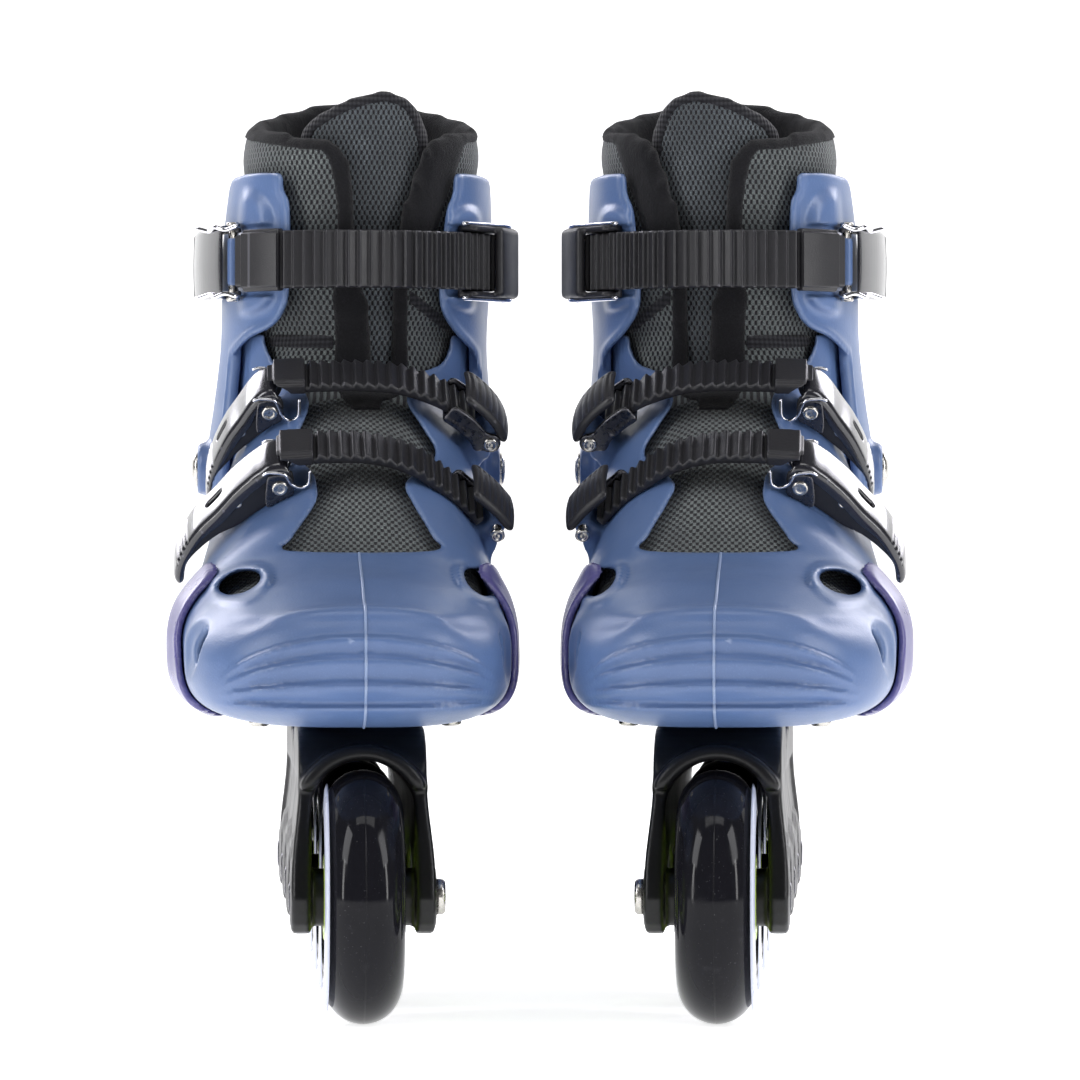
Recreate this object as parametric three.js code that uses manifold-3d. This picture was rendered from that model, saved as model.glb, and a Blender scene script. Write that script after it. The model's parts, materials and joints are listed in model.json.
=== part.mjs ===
// A pair of four-wheel inline skates with hard shells, standing side by side with their toes towards -Y.
// One skate is modelled in its own frame: x from the outer side of the foot (-) to the inner side (+),
// y from the toe (-) to the heel (+), z up from the ground, with x = 0 on the wheels' own plane.
// The other skate is its mirror image. Units are millimetres.
import * as THREE from "three";
import { mergeVertices } from "three/addons/utils/BufferGeometryUtils.js";
import Module from "manifold-3d";

const wasm = await Module();
wasm.setup();

// ---------------------------------------------------------------- driving dimensions
const PAIR_HALF_GAP = 60.1; // from the pair's middle plane to each skate's own wheel plane, at y = 0
const TOE_IN = THREE.MathUtils.degToRad(3.4); // each toe turns this far towards the other skate
const WHEEL = { radius: 38, half: 12, pitch: 80, count: 4, sides: 16 };
const AXLE = { radius: 4, headRadius: 5.4, head: 2.6, sides: 8 };
const RAIL = { outer: 21.5, inner: 15.4, top: 19.3, lobe: 11 };
const SHELL_WALL = 3;
const CUFF_WALL = 3;
const GUARD_WALL = 3.5;
const LINER_WALL = 7.5;
const FIT_GAP = 0.5; // air left between two pieces that lie against each other
const CUFF_PIVOT = { y: 52, z: 168 };
const CUFF_EDGE_Y = 36; // how far back the cuff's front edge reaches, beside the instep
const AXLE_HEIGHT = WHEEL.radius; // each tyre stands on one flat facet, so its corners lie a little outside

// Insets of each layer from the outer surface of the boot (foot part) or of the cuff (ankle part).
const ANKLE_SHELL_INSET = CUFF_WALL + 0.9;
const LINER_FOOT_INSET = SHELL_WALL + 0.8;
const LINER_ANKLE_INSET = 7;
const TONGUE_INSET = 5;

// ---------------------------------------------------------------- smooth tables
// A smooth curve through [position, value] pairs, with level ends.
function through(points) {
  const slope = points.map((p, i) => {
    const a = points[i - 1];
    const b = points[i + 1];
    return a && b ? (b[1] - a[1]) / (b[0] - a[0]) : 0;
  });
  return (at) => {
    if (at <= points[0][0]) return points[0][1];
    const i = points.findIndex((p) => p[0] > at) - 1;
    if (i < 0) return points[points.length - 1][1];
    const [x0, v0] = points[i];
    const [x1, v1] = points[i + 1];
    const h = x1 - x0;
    const t = (at - x0) / h;
    const s = 1 - t;
    const lean = h * t * s * (slope[i] * s - slope[i + 1] * t);
    return v0 * s * s * (1 + 2 * t) + v1 * t * t * (3 - 2 * t) + lean;
  };
}

// How far a round end has closed in at a share of its depth: 1 at its root and 0 at its tip.
const roundEnd = (share, power) => Math.pow(Math.max(0, 1 - Math.pow(Math.max(0, share), power)), 1 / power);

// ---------------------------------------------------------------- the foot part of the boot
const TOE = { tip: -152, root: -95, crease: -139, sole: -128 };
const HEEL = { tip: 118, root: 80 };
const END_POWER = 2.5;
const outerHalf = through([[-95, 53.5], [-70, 55], [-30, 52.5], [0, 47], [30, 42.5], [60, 40.5], [90, 39]]);
const innerHalf = through([[-95, 45.6], [-70, 45.4], [-30, 44.8], [0, 44.5], [30, 44], [60, 43.5], [90, 42]]);
const waist = through([[-152, 106], [-95, 112], [-45, 116], [0, 122], [50, 125], [118, 122]]);
const instep = through([
  [-139, 124.7], [-110, 133], [-75, 142], [-60, 153.5], [-45, 165.5], [-30, 175],
  [-15, 184.5], [0, 193], [15, 199], [40, 193], [80, 170], [112, 158],
]);
const sole = through([[-45, 89], [40, 98]]);
const outerShoulder = through([[-75, 2.3], [-50, 1.6], [-38, 1.5], [-20, 1.8], [0, 2.2], [20, 2.4]]);
const innerShoulder = through([[-75, 2.4], [-50, 2.15], [-30, 2.1], [0, 2.5], [20, 2.8]]);
const SOLE_POWER = 3.5;

// A point of the boot's outer surface at length y and angle turn round the foot, moved in by inset.
function footPoint(y, turn, inset) {
  const ends = roundEnd((TOE.root - y) / (TOE.root - TOE.tip), END_POWER) *
    roundEnd((y - HEEL.root) / (HEEL.tip - HEEL.root), END_POWER);
  const back = roundEnd((y - HEEL.root) / (HEEL.tip - HEEL.root), END_POWER);
  const middle = waist(y);
  const above = (instep(y) - middle) * roundEnd((TOE.crease - y) / (TOE.crease - TOE.tip), 2) * back;
  const below = (middle - sole(y)) * roundEnd((TOE.sole - y) / (TOE.sole - TOE.tip), 2) * back;
  const c = Math.cos(turn);
  const s = Math.sin(turn);
  const side = c < 0 ? outerHalf(y) : innerHalf(y);
  const power = s < 0 ? SOLE_POWER : c < 0 ? outerShoulder(y) : innerShoulder(y);
  const x = Math.max(0, side * ends - inset) * Math.sign(c) * Math.pow(Math.abs(c), 2 / power);
  const z = Math.max(0, (s < 0 ? below : above) - inset) * Math.sign(s) * Math.pow(Math.abs(s), 2 / power);
  return new THREE.Vector3(x, y, middle + z);
}

// The foot part as a closed body: a sphere whose poles are the toe and the heel, moved onto the surface.
function foot(inset, around = 14, along = 13) {
  const ball = new THREE.SphereGeometry(1, around, along);
  const p = ball.attributes.position;
  const middle = (TOE.tip + HEEL.tip) / 2;
  const reach = (HEEL.tip - TOE.tip) / 2;
  for (let i = 0; i < p.count; i++) {
    const v = new THREE.Vector3().fromBufferAttribute(p, i);
    const y = middle - v.y * reach;
    const moved = footPoint(y, Math.atan2(v.z, -v.x), Math.hypot(v.x, v.z) < 1e-6 ? 1e3 : inset);
    moved.y = middle + (y - middle) * (1 - inset / reach);
    p.setXYZ(i, moved.x, moved.y, moved.z);
  }
  return solid(ball);
}

// ---------------------------------------------------------------- the ankle part of the boot
const ankleX = through([[150, 0.5], [170, 0.5], [190, 1.5], [210, 2], [240, 3], [265, 4], [300, 5]]);
const ankleY = through([[150, 61], [170, 61], [190, 58.5], [210, 56], [240, 53], [265, 50], [300, 47]]);
const ankleHalf = through([
  [150, 47.5], [170, 47.3], [190, 45.5], [210, 43.8], [240, 44.3], [265, 42.5], [300, 39],
]);
const ANKLE_ROWS = [150, 172, 194, 216, 245, 266];
const ankleDepth = through([
  [150, 58.5], [170, 57], [190, 52.5], [210, 49.5], [240, 48], [265, 46.5], [300, 43],
]);

// The ankle part between two heights, as a stack of ovals, moved in by inset.
// Its rows lie at heights that every layer shares, so that the layers stay parallel.
function ankle(inset, low, high) {
  const rows = [low, ...ANKLE_ROWS.filter((z) => z > low + 1 && z < high - 1), high];
  const drum = new THREE.CylinderGeometry(1, 1, 1, 16, rows.length - 1);
  const p = drum.attributes.position;
  for (let i = 0; i < p.count; i++) {
    const z = rows[Math.round((p.getY(i) + 0.5) * (rows.length - 1))];
    const x = ankleX(z) + p.getX(i) * (ankleHalf(z) - inset);
    const y = ankleY(z) - p.getZ(i) * (ankleDepth(z) - inset);
    p.setXYZ(i, x, y, z);
  }
  return solid(drum);
}

// ---------------------------------------------------------------- solids
function solid(geometry, matrix) {
  const bare = geometry.index ? geometry.toNonIndexed() : geometry.clone();
  const shape = new THREE.BufferGeometry().setAttribute("position", bare.getAttribute("position"));
  if (matrix) shape.applyMatrix4(matrix);
  const merged = mergeVertices(shape, 1e-4);
  const made = new wasm.Manifold(new wasm.Mesh({
    numProp: 3,
    vertProperties: new Float32Array(merged.attributes.position.array),
    triVerts: new Uint32Array(merged.index.array),
  }));
  return made;
}

function geometryOf(made) {
  const mesh = made.getMesh();
  const positions = new Float32Array(mesh.numVert * 3);
  for (let i = 0; i < mesh.numVert; i++) {
    for (let k = 0; k < 3; k++) positions[3 * i + k] = mesh.vertProperties[mesh.numProp * i + k];
  }
  const geometry = new THREE.BufferGeometry();
  geometry.setAttribute("position", new THREE.BufferAttribute(positions, 3));
  geometry.setIndex(new THREE.BufferAttribute(mesh.triVerts, 1));
  geometry.computeVertexNormals();
  return geometry;
}

const polygon = (points) => new THREE.Shape(points.map(([a, b]) => new THREE.Vector2(a, b)));

// A shape drawn in the plane of two axes and pushed along the third, from one place to another.
const PLANES = {
  front: new THREE.Matrix4().makeBasis(
    new THREE.Vector3(1, 0, 0), new THREE.Vector3(0, 0, 1), new THREE.Vector3(0, -1, 0)),
  side: new THREE.Matrix4().makeBasis(
    new THREE.Vector3(0, 1, 0), new THREE.Vector3(0, 0, 1), new THREE.Vector3(1, 0, 0)),
};
function prism(shape, plane, from, to, curveSegments = 6) {
  const geometry = new THREE.ExtrudeGeometry(shape, { depth: to - from, bevelEnabled: false, curveSegments });
  const start = plane === "front" ? -to : from; // the front plane's own third axis is -y
  return solid(geometry.translate(0, 0, start), PLANES[plane]);
}

// A round bar along x.
function barAlongX(radius, from, to, y, z, sides) {
  const bar = new THREE.CylinderGeometry(radius, radius, to - from, sides);
  bar.rotateZ(Math.PI / 2).translate((from + to) / 2, y, z);
  return solid(bar);
}

// ---------------------------------------------------------------- colours
const COLOURS = {
  shell: [0x5a7aa8, 0.4, 0],
  guard: [0x4a4c86, 0.3, 0],
  mesh: [0x4a5355, 0.9, 0],
  black_plastic: [0x1b1b1e, 0.45, 0],
  frame: [0x141416, 0.35, 0],
  tyre: [0x18181b, 0.2, 0],
  hub: [0xc8dc3c, 0.4, 0],
  steel: [0xb9b6ae, 0.25, 1],
};
const materials = Object.fromEntries(Object.entries(COLOURS).map(([name, [color, roughness, metalness]]) =>
  [name, new THREE.MeshStandardMaterial({ color, roughness, metalness, name })]));

function part(name, made, material) {
  const mesh = new THREE.Mesh(geometryOf(made), materials[material]);
  mesh.name = name;
  return mesh;
}

// ---------------------------------------------------------------- shell
// The opening over the instep as seen from the front, from its inner lower corner round to the outer one.
const OPENING = [
  [22.5, 141.5], [22.8, 146], [17.5, 156], [15.6, 163], [25.8, 171.5], [22, 180.7], [17.4, 190],
  [22.9, 199], [30, 203], [33, 214], [33, 240], [-28, 240], [-28, 214], [-25, 203],
  [-18, 196], [-13.8, 189], [-16.8, 180], [-21, 173], [-14, 167], [-12.2, 162], [-12.9, 156], [-20.5, 145],
  [-20.5, 141.5],
];
// A vent is an oval hole: its middle, its half length and height, its lean, and how it is pushed through.
const VENTS = [
  { plane: "front", at: [-36.6, 132.2], half: [6.2, 3], lean: 0.3, from: -150, to: -60 },
  { plane: "front", at: [36.7, 132.2], half: [5, 3.4], lean: -0.6, from: -150, to: -60 },
  { plane: "side", at: [-98, 117], half: [9, 5], lean: 0.1, from: -70, to: -30 },
  { plane: "side", at: [-98, 115], half: [9, 5], lean: 0.1, from: 25, to: 60 },
];

function ventHole({ plane, at, half, lean, from, to }) {
  const oval = new THREE.Shape().absellipse(at[0], at[1], half[0], half[1], 0, 2 * Math.PI, false, lean);
  return prism(oval, plane, from, to, 4);
}

// Everything outside the cuff's inner face, behind its front edge.
function cuffSpace() {
  const front = CUFF_EDGE_Y - 2;
  const behind = polygon([[front, 150], [44, 154], [80, 156], [140, 168], [140, 230], [front, 230]]);
  return ankle(-20, 150, 235)
    .subtract(ankle(ANKLE_SHELL_INSET + 0.2, 140, 245))
    .intersect(prism(behind, "side", -80, 80));
}

function makeShell() {
  let outside = foot(0).add(ankle(ANKLE_SHELL_INSET, 140.5, 213));
  for (const buckle of [TOE_BUCKLE, MID_BUCKLE]) outside = outside.add(bracket(buckle)).add(lug(buckle));
  const inside = foot(SHELL_WALL).add(ankle(ANKLE_SHELL_INSET + 2.4, 146, 230));
  // The ankle walls end in a slope from the instep down to the heel, under the cuff.
  const aboveAnkle = polygon([[15, 240], [22, 213], [58, 209], [66, 166], [130, 160], [130, 240]]);
  let made = outside.subtract(inside)
    .subtract(prism(polygon(OPENING), "front", -77, 45))
    .subtract(prism(aboveAnkle, "side", -70, 70));
  for (const vent of VENTS) made = made.subtract(ventHole(vent));
  return largest(made.subtract(cuffSpace()));
}

// The biggest body of several, which leaves out slivers that a cut has freed.
function largest(made) {
  const bodies = made.decompose().sort((a, b) => b.volume() - a.volume());
  return bodies[0];
}

// ---------------------------------------------------------------- side guard
// The lower wrap, which runs from the ball of the foot round the heel, outside the shell.
function makeGuard() {
  const outline = polygon([
    [-99, 93], [-93, 112], [-82, 131], [-62, 138], [-45, 131], [-20, 119], [20, 118], [70, 129], [130, 140],
    [130, 101], [45, 101], [-45, 92],
  ]);
  const band = foot(-FIT_GAP - GUARD_WALL).subtract(foot(-FIT_GAP));
  return largest(band.intersect(prism(outline, "side", -90, 90)));
}

// ---------------------------------------------------------------- cuff
const CUFF_OPENING = [
  [31, 300], [33.3, 262], [30.6, 250], [28.6, 228], [29.4, 219], [34, 212], [40, 206], [43, 198], [60, 186],
  [60, 140], [-60, 140], [-60, 186], [-43, 196], [-39, 203], [-33, 210], [-25.8, 213.5], [-22, 218],
  [-20, 226], [-19.8, 252], [-22, 262], [-19.5, 300],
];

function makeCuff() {
  const top = polygon([
    [-10, 320], [-10, 268], [30, 264], [48, 262], [62, 250], [90, 248], [120, 254], [130, 320],
  ]);
  const bottom = polygon([[-10, 120], [-10, 157], [36, 157], [44, 160], [80, 158], [130, 168], [130, 120]]);
  let made = ankle(0, 148, 275).add(bracket(TOP_BUCKLE)).add(lug(TOP_BUCKLE));
  for (const [from, to] of [[-49.5, -40], [40, 49.8]]) {
    made = made.add(barAlongX(8.5, from, to, CUFF_PIVOT.y, CUFF_PIVOT.z, 16));
  }
  made = made.subtract(ankle(CUFF_WALL, 120, 320))
    .subtract(prism(polygon(CUFF_OPENING), "front", -80, CUFF_EDGE_Y))
    .subtract(prism(top, "side", -80, 80))
    .subtract(prism(bottom, "side", -80, 80));
  return largest(made);
}

// ---------------------------------------------------------------- liner and tongue
// The liner is in two pieces that meet at the ankle with a wedge of air for the cuff's forward flex.
// How steeply the lower and the upper piece end, ahead of the pivot.
const FRONT_RISE = Math.tan(THREE.MathUtils.degToRad(28));
const FLEX_RISE = Math.tan(THREE.MathUtils.degToRad(43));
const LINER_FRONT = -40;
const FOOTBED = 101; // the height of the flat footbed under the ball of the foot

function aboveAnkleLine(rise, lift) {
  const front = CUFF_PIVOT.z + lift + (CUFF_PIVOT.y - LINER_FRONT) * rise;
  return prism(polygon([
    [LINER_FRONT, front], [CUFF_PIVOT.y, CUFF_PIVOT.z + lift], [130, CUFF_PIVOT.z + lift], [130, 330],
    [LINER_FRONT, 330],
  ]), "side", -80, 80);
}

function makeLinerBoot() {
  const outside = foot(LINER_FOOT_INSET).add(ankle(LINER_ANKLE_INSET, 147, 230));
  const aboveFootbed = polygon([[-160, FOOTBED], [160, FOOTBED], [160, 260], [-160, 260]]);
  const inside = foot(LINER_FOOT_INSET + LINER_WALL).add(ankle(LINER_ANKLE_INSET + LINER_WALL, 140, 250))
    .intersect(prism(aboveFootbed, "side", -80, 80));
  return largest(outside.subtract(inside).subtract(aboveAnkleLine(FRONT_RISE, -2)));
}

const TONGUE_SIDES = [-13, 22];
function tongueSlot(gap, high) {
  const [a, b] = TONGUE_SIDES;
  return prism(polygon([[a - gap, 150], [b + gap, 150], [b + gap, high], [a - gap, high]]), "front", -60, 40);
}

// The room that the shell's instep wings need inside the collar as the cuff flexes forward.
function wingRoom() {
  const front = polygon([[-40, 150], [62, 150], [62, 219], [-40, 219]]);
  return ankle(-5, 145, 222)
    .subtract(ankle(LINER_ANKLE_INSET + 4.5, 140, 225))
    .intersect(prism(front, "side", -80, 80));
}

function makeCollar() {
  // The rim rises from the shin to the back of the ankle.
  const above = polygon([[-20, 330], [-20, 276], [30, 279], [70, 286], [96, 296], [130, 296], [130, 330]]);
  const made = ankle(LINER_ANKLE_INSET, 150, 262).add(ankle(3.4, 266, 300)).add(ankle(5, 255, 275))
    .subtract(ankle(LINER_ANKLE_INSET + LINER_WALL, 120, 330))
    .intersect(aboveAnkleLine(FLEX_RISE, 1))
    .subtract(tongueSlot(FIT_GAP, 330))
    .subtract(wingRoom())
    .subtract(prism(above, "side", -80, 80));
  return largest(made);
}

function makeTongue() {
  const above = polygon([[-20, 330], [-20, 287], [10, 289], [40, 283], [60, 330]]);
  const made = ankle(TONGUE_INSET, 150, 300).subtract(ankle(TONGUE_INSET + LINER_WALL, 120, 330))
    .intersect(tongueSlot(-FIT_GAP, 310))
    .intersect(aboveAnkleLine(FLEX_RISE, 9))
    .subtract(prism(above, "side", -80, 80));
  return largest(made);
}

// ---------------------------------------------------------------- frame, wheels and axles
const axleY = (i) => (i - (WHEEL.count - 1) / 2) * WHEEL.pitch;

function makeFrame() {
  const lobe = RAIL.lobe;
  const outline = new THREE.Shape();
  outline.moveTo(axleY(0) - lobe, AXLE_HEIGHT);
  for (let i = 0; i < WHEEL.count; i++) {
    outline.absarc(axleY(i), AXLE_HEIGHT, lobe, Math.PI, 2 * Math.PI, false);
    if (i < WHEEL.count - 1) {
      const halfWay = axleY(i) + WHEEL.pitch / 2;
      outline.quadraticCurveTo(halfWay, AXLE_HEIGHT + 26, axleY(i + 1) - lobe, AXLE_HEIGHT);
    }
  }
  outline.lineTo(axleY(3) - 4, 80);
  outline.quadraticCurveTo(100, 97.4, 92, 97.4);
  outline.lineTo(36, 97.4);
  outline.lineTo(22, 84);
  outline.lineTo(-34, 80);
  outline.lineTo(-44, 88.4);
  outline.lineTo(-98, 88.4);
  outline.quadraticCurveTo(-112, 86, axleY(0) + 3, 78);
  // The section: two rails that lean out, joined over the wheels by an arched deck.
  const section = new THREE.Shape();
  section.moveTo(RAIL.inner, 10);
  section.lineTo(RAIL.outer, 10);
  section.lineTo(RAIL.outer, 46);
  section.lineTo(RAIL.top, 70);
  section.lineTo(RAIL.top, 110);
  section.lineTo(-RAIL.top, 110);
  section.lineTo(-RAIL.top, 70);
  section.lineTo(-RAIL.outer, 46);
  section.lineTo(-RAIL.outer, 10);
  section.lineTo(-RAIL.inner, 10);
  section.lineTo(-RAIL.inner, 64);
  section.absarc(0, 64, RAIL.inner, Math.PI, 0, true);
  let made = prism(outline, "side", -30, 30, 3).intersect(prism(section, "front", -140, 140, 4));
  for (let i = 0; i < WHEEL.count; i++) {
    for (const side of [-1, 1]) {
      const near = WHEEL.half + 0.5;
      const boss = side < 0 ? [-RAIL.inner - 1, -near] : [near, RAIL.inner + 1];
      made = made.add(barAlongX(8, boss[0], boss[1], axleY(i), AXLE_HEIGHT, 8));
    }
    made = made.subtract(barAlongX(AXLE.radius + 0.35, -40, 40, axleY(i), AXLE_HEIGHT, AXLE.sides));
  }
  return made;
}

// A turned ring about the x axis, from [x, radius] points that close on themselves.
function turned(points, sides, y, z, turn = 0) {
  const profile = [...points, points[0]].map(([x, r]) => new THREE.Vector2(r, -x));
  const ring = new THREE.LatheGeometry(profile, sides);
  ring.rotateY(turn).rotateZ(Math.PI / 2).translate(0, y, z);
  return solid(ring);
}

const CORNER = WHEEL.radius / Math.cos(Math.PI / WHEEL.sides);
const TYRE = [
  [-10.5, 24.3], [10.5, 24.3], [12, CORNER - 7.5], [8.6, CORNER - 2], [0, CORNER], [-8.6, CORNER - 2],
  [-12, CORNER - 7.5],
];
const HUB = [[-12, 4.35], [12, 4.35], [12, 12], [8.2, 14], [9.8, 23.3], [-9.8, 23.3], [-8.2, 14], [-12, 12]];

function makeAxle(i) {
  const y = axleY(i);
  const shaft = barAlongX(AXLE.radius, -RAIL.outer + 0.5, RAIL.outer + 1, y, AXLE_HEIGHT, AXLE.sides);
  const head = barAlongX(AXLE.headRadius, RAIL.outer + 0.4, RAIL.outer + 0.4 + AXLE.head, y, AXLE_HEIGHT, 8);
  return shaft.add(head);
}

// ---------------------------------------------------------------- buckles
// Each buckle is drawn in the plane its strap runs in: u is the skate's x, v points out of the boot over the
// instep, and w is the strap's width. The plane leans back by tilt, and its middle is offset from the origin.
// The path is the strap's inner face, from its head to its bolt, and the lever's line runs from tip to hinge.
const TOE_BUCKLE = {
  name: "toe", tilt: 33, offset: 59, half: 7.5, leverHalf: 9,
  path: [
    [-26.5, 166.5], [-8.4, 167.5], [5, 167], [17, 163], [25, 157], [32.6, 149.8], [38, 144.5], [41.5, 140],
  ],
  lever: [[-55, 125], [-52.7, 133.5], [-48, 140.5], [-42, 147], [-35.5, 152.5], [-29, 157.2], [-23.8, 160]],
  leverOut: 4.2, leverIn: -4.6, root: [[5, -12], [-8, -12]], boltLift: 4, cover: 7.6, release: true,
};
const MID_BUCKLE = {
  name: "mid", tilt: 33, offset: 102, half: 7.5, leverHalf: 9,
  path: [
    [-28, 166.5], [-7.6, 167.3], [5, 167.3], [15, 166], [26, 161.8], [34, 156.4], [38.5, 151.5],
    [40.5, 147.5],
  ],
  lever: [[-44.5, 129], [-43, 138], [-39.5, 145.5], [-35, 151.5], [-30.5, 157], [-26.6, 161]],
  leverOut: 4, leverIn: -4.4, root: [[5, -12], [-8, -12]], boltLift: 4, cover: 7.6, release: true,
};
const TOP_BUCKLE = {
  name: "top", tilt: 90, offset: 235, half: 9.35, leverHalf: 12,
  path: [-52, -38, -22, -6, 10, 26, 42, 58, 71].map((degrees) => {
    const turn = THREE.MathUtils.degToRad(degrees);
    return [2.8 + 47 * Math.sin(turn), -53.3 + 51 * Math.cos(turn)];
  }),
  lever: [[-46.5, -72], [-47, -60], [-45.8, -48], [-42.5, -36], [-38, -26]],
  leverOut: 3.8, leverIn: -2.2, root: [[9, 4], [9, -8]], boltLift: 1.8, cover: 4.8, release: false,
};
const STRAP = { base: 2, tooth: 1.2, pitch: 3.7, head: 4.2, headShare: 0.17 };
const BOLT_EYE = 3.2;

const curveOf = (points) => new THREE.SplineCurve(points.map(([u, v]) => new THREE.Vector2(u, v)));

// The point at a share of a curve, moved out by an offset on its left.
function offsetPoint(curve, share, out) {
  const at = curve.getPointAt(share);
  const along = curve.getTangentAt(share);
  return [at.x - along.y * out, at.y + along.x * out];
}

// A band that follows a curve, between two offsets.
function ribbon(curve, from, to, low, high, steps) {
  const points = [];
  for (let i = 0; i <= steps; i++) points.push(offsetPoint(curve, from + (to - from) * i / steps, low));
  for (let i = steps; i >= 0; i--) points.push(offsetPoint(curve, from + (to - from) * i / steps, high));
  return polygon(points);
}

// A toothed strap: each tooth has one steep side and one long slope.
function toothedRibbon(curve, from, to) {
  const points = [];
  const steps = 9;
  const teeth = Math.floor(curve.getLength() * (to - from) / STRAP.pitch);
  for (let i = 0; i <= steps; i++) points.push(offsetPoint(curve, from + (to - from) * i / steps, 0));
  for (let i = teeth; i > 0; i--) {
    points.push(offsetPoint(curve, from + (to - from) * i / teeth, STRAP.base));
    points.push(offsetPoint(curve, from + (to - from) * (i - 0.75) / teeth, STRAP.base + STRAP.tooth));
  }
  points.push(offsetPoint(curve, from, STRAP.base));
  return polygon(points);
}

// The matrix from a buckle's u, v, -w to the skate's frame.
function buckleFrame({ tilt, offset }) {
  const lean = THREE.MathUtils.degToRad(tilt);
  const turn = new THREE.Matrix4().makeRotationX(Math.PI / 2 + lean);
  const move = new THREE.Matrix4().makeTranslation(0, offset * Math.cos(lean), offset * Math.sin(lean));
  return move.multiply(turn);
}

// A shape in the buckle's plane pushed from one width to another.
function slab(buckle, shape, from, to, curveSegments = 6) {
  const geometry = new THREE.ExtrudeGeometry(shape, { depth: to - from, bevelEnabled: false, curveSegments });
  return solid(geometry.translate(0, 0, from), buckleFrame(buckle));
}

function disc(buckle, [u, v], radius, from, to, curveSegments = 4) {
  return slab(buckle, new THREE.Shape().absarc(u, v, radius, 0, 2 * Math.PI, false), from, to, curveSegments);
}

const hingeOf = (buckle) => buckle.lever[buckle.lever.length - 1];
const boltOf = (buckle) => offsetPoint(curveOf(buckle.path), 1, buckle.boltLift);

// The block on the boot that carries the lever's hinge.
function bracket(buckle) {
  const [u, v] = hingeOf(buckle);
  const half = buckle.leverHalf - 4;
  const [a, b] = buckle.root;
  const along = Math.sign(a[1] - b[1]) * 1.2; // the web leaves the pin on the side that faces the boot
  const web = polygon([
    [u + 1.2, v + along], [u + a[0], v + a[1]], [u + b[0], v + b[1]], [u - 1.2, v - along],
  ]);
  return slab(buckle, web, -half, half).add(disc(buckle, [u, v], 1.7, -half, half, 3));
}

// The post on the boot that carries the receiver's bolt.
function lug(buckle) {
  const [u, v] = boltOf(buckle);
  const half = buckle.half - 1.5;
  const web = buckle.tilt === 90
    ? [[u + 2, v + 2], [u - 8, v + 3], [u - 8, v - 3], [u, v - 2.5]]
    : [[u + 2, v + 2], [u - 2.6, v + 2], [u - 12, v - 6], [u - 9, v - 15], [u, v - 8]];
  return slab(buckle, polygon(web), -half, half).add(disc(buckle, [u, v], 2.6, -half, half));
}

// The space that a buckle's pieces keep clear of: the cuff under the top buckle, the shell under the others.
const boot = (buckle, gap = FIT_GAP) => (buckle.release ? foot(-gap) : ankle(-gap, 216, 250));

function makeStrap(buckle) {
  const curve = curveOf(buckle.path);
  const { half } = buckle;
  const band = slab(buckle, toothedRibbon(curve, 0, 0.9), -half, half);
  const head = slab(buckle, ribbon(curve, 0, STRAP.headShare, -0.2, STRAP.head, 2), -half - 0.6, half + 0.6);
  return largest(band.add(head).subtract(boot(buckle)));
}

function makeLever(buckle) {
  const curve = curveOf(buckle.lever);
  const { leverHalf, leverOut, leverIn } = buckle;
  const hinge = hingeOf(buckle);
  const wall = 1.8;
  const outside = slab(buckle, ribbon(curve, 0, 1, leverIn, leverOut, 5), -leverHalf, leverHalf)
    .add(disc(buckle, hinge, -leverIn, -leverHalf, leverHalf));
  // The lever is a channel: its top wall is outside, and the bracket stands between its cheeks.
  const hollow = slab(buckle, ribbon(curve, 0.06, 1, leverIn - 3, leverOut - wall, 5),
    -leverHalf + wall, leverHalf - wall)
    .add(disc(buckle, hinge, -leverIn + 3, -leverHalf + wall, leverHalf - wall));
  return largest(outside.subtract(hollow).subtract(boot(buckle, GUARD_WALL)));
}

function makeReceiver(buckle) {
  const curve = curveOf(buckle.path);
  const { half } = buckle;
  const bolt = boltOf(buckle);
  const inner = half + 0.4;
  const outer = half + 2.2;
  // A fixed cover is joined to the cheeks.
  const high = buckle.release ? buckle.cover - 3 : buckle.cover + 0.5;
  let made = slab(buckle, ribbon(curve, 0.78, 0.91, -1.9, -0.35, 2), -outer, outer);
  for (const [from, to] of [[-outer, -inner], [inner, outer]]) {
    made = made.add(slab(buckle, ribbon(curve, 0.78, 1, -1.9, high, 2), from, to))
      .add(disc(buckle, bolt, BOLT_EYE, from, to));
  }
  if (!buckle.release) made = made.add(slab(buckle, releaseShape(buckle), -outer, outer));
  return largest(made.subtract(boot(buckle)));
}

function releaseShape(buckle) {
  const curve = curveOf(buckle.path);
  return ribbon(curve, 0.8, 1, buckle.cover, buckle.cover + 3, 3);
}

function makeRelease(buckle) {
  const outer = buckle.half + 2.2;
  return slab(buckle, releaseShape(buckle), -outer, outer);
}

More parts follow.
